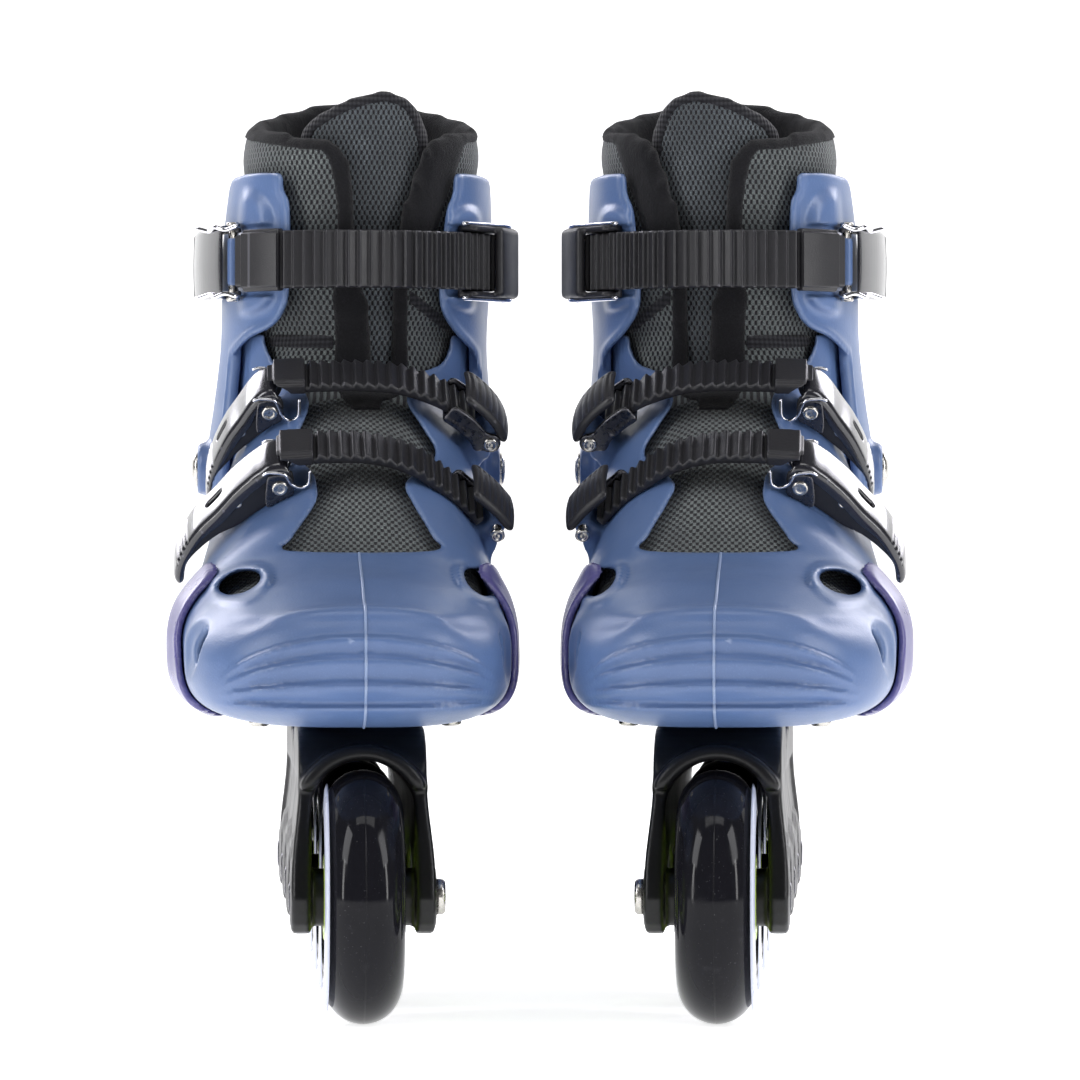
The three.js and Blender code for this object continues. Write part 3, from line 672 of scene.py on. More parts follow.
def urethane(name, colour):
    """Glossy cast polyurethane with a few scuffs and fine dust."""
    s = Shader(name, colour, 0.12, ior=1.5, specular_ior_level=0.16)
    scuffs = s.ramp(s.noise(0.006, 5, 0.65), 0.58, 0.72)
    dust = s.ramp(s.noise(0.0006, 2), 0.68, 0.78, 0, 0.35)
    s.colour(s.mix(dust, s.mix(scuffs, colour, tuple(c * 1.3 + 0.004 for c in colour)), (0.16, 0.16, 0.17)))
    s.rough(s.ramp(s.noise(0.01, 4), 0.45, 0.75, 0.07, 0.2))
    s.bump(s.noise(0.02, 2), 0.00008, 0.4)
    return s.material


SHELL_BLUE = (0.105, 0.175, 0.36)
MATERIALS = {
    # The pale lavender edge colours of the shell and the guard are largely painted highlights.
    "shell": moulded("shell_plastic", SHELL_BLUE, 0.36, depth=0.00007, edge_wear_and_highlight=(0.5, 0.58, 0.75), edge_wear_and_highlight_share=0.35,
                     coat_weight=0.12, coat_roughness=0.3),
    "guard": moulded("guard_plastic", (0.1, 0.09, 0.28), 0.3, grain=0.0012, depth=0.000015,
                     edge_wear_and_highlight=(0.4, 0.4, 0.62), edge_wear_and_highlight_share=0.3, coat_weight=0.2, coat_roughness=0.2),
    "line": moulded("mould_line", (0.26, 0.35, 0.56), 0.35),
    "mesh": woven("spacer_mesh", (0.13, 0.15, 0.155), (0.006, 0.006, 0.009), (0.3, 0.34, 0.33)),
    "tongue": woven("tongue_mesh", (0.1, 0.12, 0.135), (0.005, 0.005, 0.009), (0.23, 0.27, 0.3)),
    "fleece": fleece("black_fleece", (0.004, 0.004, 0.006), (0.016, 0.015, 0.02)),
    "binding": webbing("binding_tape", (0.006, 0.006, 0.009), (0.026, 0.026, 0.032)),
    "strap": moulded("strap_nylon", (0.019, 0.0185, 0.022), 0.4, grain=0.0005, depth=0.00007,
                     edge_wear_and_highlight=(0.13, 0.13, 0.15), edge_wear_and_highlight_share=0.6),
    "lever": moulded("lever_nylon", (0.018, 0.018, 0.025), 0.2, grain=0.0009, depth=0.00002,
                     edge_wear_and_highlight=(0.16, 0.16, 0.2), edge_wear_and_highlight_share=0.5, coat_weight=0.8, coat_roughness=0.16),
    "frame": moulded("frame_nylon", (0.0065, 0.0065, 0.0075), 0.36, grain=0.001, depth=0.00002,
                     edge_wear_and_highlight=(0.06, 0.06, 0.065), edge_wear_and_highlight_share=0.4, specular_ior_level=0.35),
    "tyre": urethane("tyre_urethane", (0.009, 0.009, 0.012)),
    "ring": moulded("wheel_side_ring", (0.62, 0.66, 0.82), 0.3, depth=0.00001, edge_wear_and_highlight=(0.7, 0.7, 0.8)),
    "hub": moulded("hub_nylon", (0.62, 0.85, 0.06), 0.3, depth=0.00002, edge_wear_and_highlight=(0.85, 0.95, 0.4)),
    "steel": metal("plated_steel", (0.62, 0.6, 0.56), 0.24),
    "dark_steel": metal("black_plate", (0.11, 0.11, 0.12), 0.3),
    "chrome": metal("chrome_wire", (0.82, 0.82, 0.86), 0.12, 0.00001),
}

# ---------------------------------------------------------------- the boot's two fields
FIELD_REACH = 17.0  # how far from each surface its distance is kept true


def closed_rows(rows):
    """Rows of points as a closed surface whose first and last rows shrink to their middles."""
    first, last = (np.repeat(r.mean(0, keepdims=True), len(r), 0) for r in (rows[0], rows[-1]))
    rows = [first, *rows, last]
    return np.vstack(rows), ring_quads(len(rows), len(rows[0]))


def foot_field(block):
    turn = 2 * math.pi * np.arange(180) / 180
    share = (1 - np.cos(math.pi * np.linspace(0, 1, 200))) / 2
    rows = [foot_point(np.float64(y), turn) for y in TOE_TIP + (HEEL_TIP - TOE_TIP) * share[1:-1]]
    return block.distance(*closed_rows(rows), FIELD_REACH)


def ankle_field(block):
    turn = 2 * math.pi * np.arange(140) / 140
    rows = [ankle_point(np.float64(z), turn) for z in np.linspace(118, 330, 90)]
    return block.distance(*closed_rows(rows), FIELD_REACH)


def part_of(block, low, high):
    """The slices of a block's points between two corners, and their coordinates."""
    cuts = []
    for l, h, start, count in zip(low, high, block.low, block.shape):
        first = int(np.clip((l - start) / block.step, 0, count))
        cuts.append(slice(first, int(np.clip((h - start) / block.step + 2, 0, count))))
    return tuple(cuts), block.x[cuts[0]], block.y[:, cuts[1]], block.z[:, :, cuts[2]]


# ---------------------------------------------------------------- buckle planes
class Buckle:
    """A strap's plane: u is the skate's x, v points out over the instep, w is the strap's width."""

    def __init__(self, name, tilt, offset, half, lever_half, path, hinge, bolt_lift):
        self.name, self.half, self.lever_half, self.hinge = name, half, lever_half, hinge
        self.sin, self.cos = math.sin(math.radians(tilt)), math.cos(math.radians(tilt))
        self.y, self.z = offset * self.cos, offset * self.sin
        self.line = Line(path)
        self.bolt = self.line.at(self.line.length, bolt_lift)

    def planar(self, x, y, z):
        """u, v, w of points in the skate's frame."""
        y, z = y - self.y, z - self.z
        return x, z * self.cos - y * self.sin, -y * self.cos - z * self.sin

    def place(self, u, v, w):
        y = self.y - v * self.sin - w * self.cos
        z = self.z + v * self.cos - w * self.sin
        return np.stack([u + 0 * v, y, z], -1)

    def placed(self, shape):
        points, quads = shape
        points = self.place(*points.T)
        return points, outward(points, quads)

    def wire(self, points, radius, **more):
        return self.placed(wire(points, radius, **more))


TOE = Buckle(
    "toe", 33, 59, 7.5, 9,
    [(-26.5, 166.5), (-8.4, 167.5), (5, 167), (17, 163), (25, 157), (32.6, 149.8), (38, 144.5),
     (41.5, 140)],
    (-23.8, 160), 4,
)
MID = Buckle(
    "mid", 33, 102, 7.5, 9,
    [(-28, 166.5), (-7.6, 167.3), (5, 167.3), (15, 166), (26, 161.8), (34, 156.4), (38.5, 151.5),
     (40.5, 147.5)],
    (-26.6, 161), 4,
)
TOP = Buckle(
    "top", 90, 235, 9.35, 12,
    [(2.8 + 47 * math.sin(math.radians(a)), -53.3 + 51 * math.cos(math.radians(a)))
     for a in (-52, -38, -22, -6, 10, 26, 42, 58, 71)],
    (-38, -26), 1.8,
)


def bracket_field(buckle, u, v, w):
    """The block on the boot that carries the lever's hinge."""
    hu, hv = buckle.hinge
    half = buckle.lever_half - 4
    if buckle is TOP:
        web = [(hu + 1.2, hv + 1.2), (hu + 9, hv + 4), (hu + 9, hv - 8), (hu - 1.2, hv - 1.2)]
    else:
        web = [(hu + 1.2, hv + 1.2), (hu + 5, hv - 12), (hu - 8, hv - 12), (hu - 1.2, hv - 1.2)]
    shape = join(outline(web, u, v), np.hypot(u - hu, v - hv) - 1.9, 1.5)
    return meet(shape, np.abs(w) - half, 1)


def lug_field(buckle, u, v, w):
    """The post on the boot that carries the receiver's bolt."""
    bu, bv = buckle.bolt
    if buckle is TOP:
        web = [(bu + 2, bv + 2), (bu - 8, bv + 3), (bu - 8, bv - 3), (bu, bv - 2.5)]
    else:
        web = [(bu + 2, bv + 2), (bu - 2.6, bv + 2), (bu - 12, bv - 6), (bu - 9, bv - 15), (bu, bv - 8)]
    shape = join(outline(web, u, v), np.hypot(u - bu, v - bv) - 2.6, 2)
    return meet(shape, np.abs(w) - buckle.half + 1.5, 2)


def add_posts(field, block, buckles, soft):
    """The field with each buckle's bracket and post joined on by a fillet."""
    for buckle in buckles:
        for shape, (u, v) in ((bracket_field, buckle.hinge), (lug_field, buckle.bolt)):
            middle = buckle.place(np.float64(u), np.float64(v), np.float64(0))
            cuts, x, y, z = part_of(block, middle - 22, middle + 22)
            field[cuts] = join(field[cuts], shape(buckle, *buckle.planar(x, y, z)), soft)
    return field


# ---------------------------------------------------------------- shell
SHELL_WALL, CUFF_WALL = 3.0, 3.0
ANKLE_SHELL_INSET = CUFF_WALL + 0.9
CUFF_PIVOT = (52, 168)
CUFF_EDGE_Y = 36
OPENING = [
    (22.5, 141.5), (22.8, 146), (17.5, 156), (15.6, 163), (25.8, 171.5), (22, 180.7), (17.4, 190), (22.9, 199),
    (30, 203), (33, 214), (33, 240), (-28, 240), (-28, 214), (-25, 203), (-18, 196), (-13.8, 189), (-16.8, 180),
    (-21, 173), (-14, 167), (-12.2, 162), (-12.9, 156), (-20.5, 145), (-20.5, 141.5),
]
# The toe cap's overlapping ridges: the height of each one's crest at the middle, and of the point
# where they meet.
RIDGE_CRESTS = (117.4, 111.2, 103.5, 96.7, 89)
RIDGE_ENDS, RIDGE_MIDDLE, RIDGE_HALF = 97.3, -1.5, 43.5
UPPER_VENTS = (((-36.6, 131.8), (6.6, 2.9), 0.33), ((36.9, 131.8), (5.4, 3.2), -0.65))
SIDE_VENTS = ((-1, (-118, 112.5), (5.5, 5.2)), (1, (-118, 111), (5.5, 5.6)))


def ridge_relief(x, z):
    t = (x - RIDGE_MIDDLE) / RIDGE_HALF
    closing = np.sqrt(np.maximum(1 - t * t, 0.02))
    crest = RIDGE_ENDS + (z - RIDGE_ENDS) / closing
    total = 0
    for high, low in zip(RIDGE_CRESTS[:-1], RIDGE_CRESTS[1:]):
        share = (high - crest) / (high - low)
        total = total + step_up(share, 0, 0.2) * (1 - step_up(share, 0.25, 1.0))
    brow = step_up(z + 3 * t * t, 120.5, 124.5) * (1 - step_up(z + 3 * t * t, 124.5, 136))
    return (2.1 * total + 1.1 * brow) * step_up(1 - np.abs(t), 0.0, 0.3)


def shell_relief(x, y, z):
    """How far the shell's outer surface stands out from, or in from, the plain boot."""
    front = 1 - step_up(y, -112, -98)
    relief = ridge_relief(x, z) * front
    above = 1 - step_up(y, -84, -66)
    for at, half, lean in UPPER_VENTS:
        ring = oval(x, z, at, half, lean)
        hood = step_up(ring, -0.5, 1.2) * (1 - step_up(ring, 2.2, 4.6))
        upper = 0.3 + 0.7 * step_up(z - at[1], -2.5, 2.0)
        relief = relief + 2.1 * hood * upper * above
    for side, at, half in SIDE_VENTS:
        scoop = oval(y, z, (at[0] + 5, at[1] - 0.5), (11, 9.2), 0.08)
        relief = relief - 1.9 * (1 - step_up(scoop, -5.5, 0.8)) * step_up(side * x, 20, 28)
    return relief


def make_shell(block, foot, ankle):
    x, y, z = block.x, block.y, block.z
    relief = shell_relief(x, y, z).astype(np.float32)
    drum = meet(ankle + ANKLE_SHELL_INSET, np.maximum(140.5 - z, z - 213), 2)
    outside = join(foot - relief, drum, 7)
    inside = join(foot + SHELL_WALL - np.minimum(relief, 0),
                  meet(ankle + ANKLE_SHELL_INSET + 2.4, 146 - z, 2), 7)
    outside = add_posts(outside, block, (TOE, MID), 4.5)
    wall = cut(outside, inside, 1.2)
    hole = meet(outline(OPENING, x, z, smooth=True), np.maximum(-77 - y, y - 45), 1)
    wall = cut(wall, hole, 1.6)
    over = outline([(15, 240), (22, 213), (58, 209), (66, 166), (130, 160), (130, 240)], y, z)
    wall = cut(wall, over, 1.5)
    for at, half, lean in UPPER_VENTS:
        wall = cut(wall, meet(oval(x, z, at, half, lean), np.maximum(-150 - y, y + 60), 1), 1.8)
    for side, at, half in SIDE_VENTS:
        wall = cut(wall, meet(oval(y, z, at, half), 28 - side * x, 1), 1.5)
    under_cuff = [(34, 153.6), (44, 157.4), (80, 157.2), (140, 169), (140, 230), (34, 230)]
    outer = meet(-(ankle + ANKLE_SHELL_INSET + 0.2), outline(under_cuff, y, z), 1)
    wall = cut(wall, outer, 1.2)
    return largest(block.mesh(wall)), outside


def largest(shape):
    """Only the biggest connected body of a mesh."""
    points, quads = shape
    label = np.arange(len(points))
    while True:
        low = label[quads].min(1)
        before = label.copy()
        for k in range(4):
            np.minimum.at(label, quads[:, k], low)
        label = label[label]
        if (label == before).all():
            break
    values, counts = np.unique(label, return_counts=True)
    keep = label == values[counts.argmax()]
    place = np.cumsum(keep) - 1
    return points[keep], place[quads[keep[quads[:, 0]]]]


# ---------------------------------------------------------------- side guard
GUARD_WALL, FIT_GAP = 3.5, 0.5
GUARD = [
    (-97, 93), (-89, 112), (-79, 131), (-62, 138), (-45, 131), (-20, 119), (20, 118), (70, 129), (130, 140),
    (130, 101), (45, 101), (-45, 92),
]


def make_guard(block, foot):
    edge = outline(GUARD, block.y, block.z, smooth=True)
    thin = 1.3 * (1 - step_up(-edge, 0, 14))  # the wrap thins towards its edges
    wall = meet(foot - FIT_GAP - GUARD_WALL + thin, FIT_GAP - foot, 1.0)
    return largest(block.mesh(meet(wall, edge, 1.2)))


# ---------------------------------------------------------------- cuff
CUFF_OPENING = [
    (31, 300), (33.3, 262), (30.6, 250), (28.6, 228), (29.4, 219), (34, 212), (40, 206), (43, 198), (60, 186),
    (60, 140), (-60, 140), (-60, 186), (-43, 196), (-39, 203), (-33, 210), (-25.8, 213.5), (-22, 218),
    (-20, 226), (-19.8, 252), (-22, 262), (-19.5, 300),
]
CUFF_TOP = [(-10, 320), (-10, 268), (30, 264), (48, 262), (62, 250), (90, 248), (120, 254), (130, 320)]
CUFF_BOTTOM = [(-10, 120), (-10, 157), (36, 157), (44, 160), (80, 158), (130, 168), (130, 120)]
STRAP_LOW, STRAP_HIGH = 224.3, 246.3  # the pads stand out above and below the top strap


def pad_relief(x, y, z):
    """The cuff's pads: half-ovals with a ledge on the strap's side."""
    total = 0
    for middle, half, low, high in ((-36, 12, 7.5, 15), (38.5, 8.5, 6, 8)):
        under = ((x - middle) / half) ** 2 + ((z - STRAP_LOW) / low) ** 2
        over = ((x - middle) / half) ** 2 + ((z - STRAP_HIGH) / high) ** 2
        total = total + (1 - step_up(under, 0.45, 1.0)) * (1 - step_up(z, STRAP_LOW - 0.9, STRAP_LOW))
        total = total + (1 - step_up(over, 0.2, 1.0)) * step_up(z, STRAP_HIGH, STRAP_HIGH + 0.9)
    return 2.3 * total * (1 - step_up(y, 22, 34))


def make_cuff(block, ankle):
    x, y, z = block.x, block.y, block.z
    front = np.maximum(outline(CUFF_OPENING, x, z, smooth=True), y - CUFF_EDGE_Y)
    lip = step_up(front, 0.0, 0.8) * (1 - step_up(front, 2.0, 3.2))
    relief = (pad_relief(x, y, z) + 0.7 * lip).astype(np.float32)
    outside = ankle - relief
    outside = add_posts(outside, block, (TOP,), 3)
    for side, far in ((-1, 49.5), (1, 49.8)):
        boss = np.hypot(y - CUFF_PIVOT[0], z - CUFF_PIVOT[1]) - 8.5
        boss = meet(boss, np.maximum(side * x - far, 40 - side * x), 1.5)
        outside = join(outside, boss, 4)
    wall = cut(outside, ankle + CUFF_WALL, 1)
    wall = cut(wall, meet(front, np.maximum(-80 - y, y - CUFF_EDGE_Y), 2), 1.4)
    wall = cut(wall, outline(CUFF_TOP, y, z, smooth=True), 1.6)
    wall = cut(wall, outline(CUFF_BOTTOM, y, z), 1.6)
    return largest(block.mesh(wall)), outside


# ---------------------------------------------------------------- liner, tongue and trims
FOOTBED = 101
THROAT = [
    (-9, 310), (-6.5, 279), (-1.6, 269), (1.0, 256), (1.8, 244), (4.5, 226), (5.9, 212), (6.3, 196),
    (13.5, 196), (13.9, 212), (13.9, 228), (14.4, 240), (18, 256), (23, 270), (27, 285), (30, 310),
]
RIM = [(-20, 330), (-20, 276), (30, 279), (70, 286), (96, 296), (130, 296), (130, 330)]
# The tapes across the side panels: their ends, seen from the front, and their half width.
TAPES = (((-24, 209.5), (-4, 208.5), 2.4), ((17, 225), (32, 214), 2.0))


def collar_inset(z):
    """How far the liner's ankle lies inside the cuff's outer face; it swells above the cuff."""
    return 7 - 2.6 * step_up(z, 212, 222) - 1.9 * step_up(z, 262, 270)


def liner_fields(block, foot, ankle):
    """The liner's wall, the distance from its throat and the distance from its rim."""
    x, y, z = block.x, block.y, block.z
    throat = np.maximum(outline(THROAT, x, z, smooth=True), y - 30)
    rim = outline(RIM, y, z, smooth=True)
    inset = collar_inset(z)
    thick = 7.2 - 2.6 * (1 - step_up(throat, 13, 24)) * step_up(z, 205, 220)
    outside = join(foot + 3.8, meet(ankle + inset, 147 - z, 2), 6)
    inside = join(foot + 11.3, meet(ankle + inset + thick, 140 - z, 2), 6)
    inside = meet(inside, FOOTBED - z, 2)
    wall = cut(outside, inside, 2.5)
    wall = cut(wall, throat, 2.5)
    return cut(wall, rim, 5), throat, rim, inside


def weave_layer(points):
    """How far across and up the fabric each point lies, in metres, so that the weave follows the surface."""
    x, y, z = points.T
    lengths = np.linspace(-152, 5, 160)
    heights = instep(lengths)
    run = np.concatenate([[0], np.cumsum(np.hypot(np.diff(lengths), np.diff(heights)))])
    up = np.interp(np.minimum(y, 5), lengths, run) + np.maximum(z - heights[-1], 0)
    around = 46 * np.arctan2(x - ankle_x(z), ankle_y(z) - y)
    share = step_up(z, 180, 215)
    across = x * (1 - share) + around * share
    return {"weave": np.stack([across, up, 0 * up], -1) * MM}


def soft_piece(name, shape, material, replaces=()):
    """A piece of the liner, set in place once; it rides on neither the boot nor the cuff."""
    made = add_piece(name, shape, MATERIALS[material], None, replaces,
                     layers=weave_layer(shape[0]), ride=False)
    for side, piece in made.items():
        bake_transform(piece)
    return made


def plump(shape, pinned, cap, frames=20):
    """The shape blown up by a cloth simulation, its seams held, with no point moved further than cap."""
    points, quads = shape
    mesh = new_mesh("plump", points * MM, quads)
    pad = bpy.data.objects.new("plump", mesh)
    bpy.context.scene.collection.objects.link(pad)
    group = pad.vertex_groups.new(name="seams")
    group.add([int(i) for i in np.flatnonzero(pinned)], 1.0, "REPLACE")
    cloth = pad.modifiers.new("cloth", "CLOTH")
    settings = cloth.settings
    settings.use_pressure = True
    settings.uniform_pressure_force = 4
    settings.effector_weights.gravity = 0
    settings.vertex_group_mass = "seams"
    settings.quality = 4
    settings.tension_stiffness = settings.compression_stiffness = 12
    settings.bending_stiffness = 0.4
    cloth.point_cache.frame_end = frames
    for step in range(1, frames + 1):
        bpy.context.scene.frame_set(step)
    shown = pad.evaluated_get(bpy.context.evaluated_depsgraph_get())
    after = np.zeros(len(points) * 3, np.float32)
    shown.data.vertices.foreach_get("co", after)
    bpy.context.scene.frame_set(1)
    bpy.data.objects.remove(pad)
    move = after.reshape(-1, 3) / MM - points
    size = np.linalg.norm(move, axis=1, keepdims=True)
    return points + move * np.minimum(1, cap / np.maximum(size, 1e-6)), quads


def subdivided(shape, levels=1):
    points, quads = shape
    mesh = new_mesh("fine", points, quads)
    fine = bpy.data.objects.new("fine", mesh)
    bpy.context.scene.collection.objects.link(fine)
    rounder = fine.modifiers.new("subdivision", "SUBSURF")
    rounder.levels = levels
    shown = fine.evaluated_get(bpy.context.evaluated_depsgraph_get()).to_mesh()
    points = np.zeros(len(shown.vertices) * 3, np.float32)
    shown.vertices.foreach_get("co", points)
    quads = np.zeros(len(shown.loops), np.int32)
    shown.loops.foreach_get("vertex_index", quads)
    bpy.data.objects.remove(fine)
    return points.reshape(-1, 3).astype(float), quads.reshape(-1, 4)


def tape_distance(x, z, start, end, half):
    (a0, b0), (a1, b1) = start, end
    da, db = a1 - a0, b1 - b0
    t = np.clip(((x - a0) * da + (z - b0) * db) / (da * da + db * db), 0, 1)
    return np.hypot(x - a0 - t * da, z - b0 - t * db) - half


def make_liner():
    """The padded inner boot."""
    block = Block((-56, -150, 84), (58, 122, 304), 3.2)
    foot, ankle = foot_field(block), ankle_field(block)
    slimmer = 0.5
    wall, throat, rim, _ = liner_fields(block, foot + slimmer, ankle + slimmer)
    shape = largest(block.mesh(wall))
    x, y, z = shape[0].T
    seams = (np.abs(block.read(throat, x, y, z) - 5) < 1.8) & (y < 40) & (z > 190)
    seams |= np.abs(block.read(np.broadcast_to(rim, block.shape), x, y, z) - 5) < 1.6
    for start, end, half in TAPES:
        seams |= (np.abs(tape_distance(x, z, start, end, half)) < 1.5) & (y < 30)
    seams |= z < 130
    shape = plump(shape, seams, 1.6)
    shape = subdivided(shape, 1)
    soft_piece("liner", shape, "mesh", ["liner_boot", "liner_collar"])
    return shape


def make_trims(liner):
    """Fleece on the rim, the throat's edges and the inside of the collar, and tape across the side panels."""
    block = Block((-50, -14, 176), (56, 112, 304), 1.0)
    x, y, z = block.x, block.y, block.z
    skin = block.distance(liner[0], liner[1], 6)
    foot, ankle = foot_field(block), ankle_field(block)
    _, throat, rim, inside = liner_fields(block, foot, ankle)
    width = np.where(x < 10, 6.2 + 5 * (1 - step_up(z, 222, 236)), 4.6 + 8 * step_up(z, 226, 242))
    near_throat = np.maximum(throat - width, 186 - z)
    edge = np.minimum(near_throat, rim - 5.0)
    lining = np.maximum(inside - 2.5, 232 - z)
    heel_seam = np.maximum(np.abs(x - ankle_x(z)) - 5, 60 - y)
    edge = np.minimum(np.minimum(edge, lining), heel_seam)
    band = meet(meet(skin - 0.9, -2.5 - skin, 1), edge, 1.6)
    soft_piece("fleece_trim", block.mesh(band), "fleece")
    tapes = [meet(meet(skin - 0.6, -1.5 - skin, 0.6), np.maximum(tape_distance(x, z, *tape), y - 34), 1.0)
             for tape in TAPES]
    soft_piece("panel_tape", block.mesh(meet(np.minimum(*tapes), width + 0.3 - throat, 0.5)), "binding")


TONGUE = [
    (-14.5, 279), (-5.4, 285), (4.3, 288.6), (11.4, 289.6), (17.4, 288), (21.7, 284), (24.2, 278), (25.5, 270),
    (25, 255), (24, 225), (22, 196), (-4, 196), (-9, 225), (-15, 255), (-16.5, 271),
]


def make_tongue():
    """The tongue of the inner boot, with the tape bound round its top."""
    block = Block((-24, -14, 186), (36, 44, 296), 2.4)
    x, y, z = block.x, block.y, block.z
    ankle = ankle_field(block)
    shape = outline(TONGUE, x, z, smooth=True)
    lean = 1.5 * step_up(z, 262, 288)
    wall = meet(ankle + 10.2 + 2.2 * step_up(-z, -215, -196) - lean, -(ankle + 15.5 - lean), 2)
    wall = meet(meet(wall, shape, 3), y - 30, 1)
    made = largest(block.mesh(wall))
    px, _, pz = made[0].T
    gap = outline(TONGUE, px, pz, smooth=True)
    made = plump(made, (np.abs(gap + 4.5) < 1.2) | (pz < 200), 1.6)
    made = subdivided(made, 1)
    soft_piece("tongue_pad", made, "tongue", ["tongue"])
    fine = Block((-24, -14, 240), (36, 44, 296), 0.9)
    skin = fine.distance(made[0], made[1], 5)
    inner = outline(TONGUE, fine.x, fine.z, smooth=True)
    band = meet(meet(skin - 0.7, -1.8 - skin, 0.8), np.maximum(-3.6 - inner, 266 - fine.z), 1.0)
    soft_piece("tongue_binding", fine.mesh(band), "binding")


# ---------------------------------------------------------------- frame, wheels and axles
WHEEL_RADIUS, WHEEL_HALF = 38.0, 12.0
RAIL_OUTER, RAIL_INNER, RAIL_TOP, RAIL_LOBE = 21.5, 15.4, 19.3, 11.0
HUB_RADIUS = 23.3


def arc_points(at, radius, start, end, count=9):
    return [(at[0] + radius * math.cos(a), at[1] + radius * math.sin(a))
            for a in np.radians(np.linspace(start, end, count))]


def curve_points(start, handle, end, count=7):
    """A stretch of a curve that leaves start towards handle and reaches end from it."""
    start, handle, end = np.array(start), np.array(handle), np.array(end)
    return [tuple(start * (1 - t) ** 2 + 2 * handle * t * (1 - t) + end * t * t)
            for t in np.linspace(0, 1, count)[1:-1]]


def frame_outline():
    points = []
    for i, y in enumerate(AXLE_Y):
        points += arc_points((y, AXLE_Z), RAIL_LOBE, 180, 360)
        if i < WHEEL_COUNT - 1:
            start, end = (y + RAIL_LOBE, AXLE_Z), (AXLE_Y[i + 1] - RAIL_LOBE, AXLE_Z)
            points += curve_points(start, (y + 40, AXLE_Z + 26), end)
    points += [(AXLE_Y[3] - 4, 80), *curve_points((AXLE_Y[3] - 4, 80), (100, 97.4), (92, 97.4)), (92, 97.4)]
    points += [(36, 97.4), (22, 84), (-34, 80), (-44, 88.4), (-98, 88.4)]
    points += curve_points((-98, 88.4), (-112, 86), (AXLE_Y[0] + 3, 78))
    return [*points, (AXLE_Y[0] + 3, 78)]


def make_frame():
    """The wheel frame: two rails under a deck, with a brow across the front."""
    block = Block((-27, -136, 24), (27, 136, 100), 0.8)
    x, y, z = block.x, block.y, block.z
    side = outline(frame_outline(), y, z)
    half = RAIL_TOP + (RAIL_OUTER - RAIL_TOP) * (1 - step_up(z, 44, 72))
    inner = np.where(z > 64, np.hypot(x, z - 64) - RAIL_INNER, np.abs(x) - RAIL_INNER)
    # Each rail is a channel: a window recess in its outer face between the wheels, with a raised border.
    recess = 1.3 * (1 - step_up(side, -5.5, -3.5)) * (1 - step_up(z, 70, 74)) * step_up(z, 47, 52)
    shape = meet(side, np.abs(x) - half + recess, 1.6)
    shape = cut(shape, inner, 1.6)
    # The front cross member stands forward of the deck as an arched brow.
    brow = meet(np.hypot(x, z - 62) - 21.5, 70 - z, 2)
    brow = meet(brow, np.maximum(-124 - y, y + 100), 3)
    brow = cut(brow, np.hypot(x, z - 63) - 15.9, 2)
    shape = join(shape, meet(brow, np.abs(x) - 19.6, 2), 1.5)
    for at in AXLE_Y:
        reach = np.hypot(y - at, z - AXLE_Z)
        boss = meet(reach - 8, np.maximum(12.6 - np.abs(x), np.abs(x) - RAIL_INNER - 1), 0.8)
        shape = join(shape, boss, 1)
        shape = join(shape, meet(reach - 8.6, np.abs(x) - RAIL_OUTER - 0.35, 0.7), 0.6)
        shape = cut(shape, reach - 4.35, 0.5)
    add_piece("chassis", largest(block.mesh(shape)), MATERIALS["frame"], "boot", ["frame"])


def tyre_profile():
    """Half of the tyre's section, mirrored, from its bore round to its bore."""
    rows = [(-10.4, 24.35)]
    for t in np.sin(np.linspace(0, math.pi / 2, 22)):
        rows.append((-WHEEL_HALF * math.sqrt(1 - t**2.2), 24.6 + (WHEEL_RADIUS - 24.6) * t))
    rows += [(-x, r) for x, r in rows[::-1][1:]]
    return [*rows, (10.4, 24.35), (0, 24.0), (-10.4, 24.35)]


def hub_field(block):
    """A hub with five windows between its barrel and its outer ring."""
    x, y, z = block.x, block.y, block.z
    reach = np.hypot(y, z)
    turn = np.arctan2(z, y)
    ring = meet(np.maximum(reach - HUB_RADIUS, 19.6 - reach), np.abs(x) - 9.6, 1.2)
    barrel = meet(reach - 13.2, np.abs(x) - 11.9, 1)
    web = meet(reach - 21, np.abs(x) - 4.2 + 1.2 * step_up(reach, 13, 19), 1)
    spoke = np.abs(((turn * 5 / (2 * math.pi)) % 1) - 0.5) * 2 * math.pi / 5 * reach - 3.4
    window = meet(-spoke, np.maximum(14.4 - reach, reach - 18.6), 1.5)
    shape = join(join(ring, cut(web, window, 1.5), 1.5), barrel, 1.5)
    seat = meet(reach - 11.05, 4.9 - np.abs(x), 0.3)
    return cut(cut(shape, seat, 0.4), reach - 4.9, 0.4)


def bearing(side):
    """One bearing: an outer race, a shield and an inner race, on one side of a wheel."""
    rows = [(5, 4.2), (5, 11), (11.3, 11), (11.8, 10.6), (11.8, 9.6), (11.2, 9.4), (11.2, 6.7), (11.8, 6.5),
            (11.8, 4.6), (11.5, 4.2), (5, 4.2)]
    return turned([(side * x, r) for x, r in rows], 48)


def moved(shape, by):
    return shape[0] + np.array(by, float), shape[1]


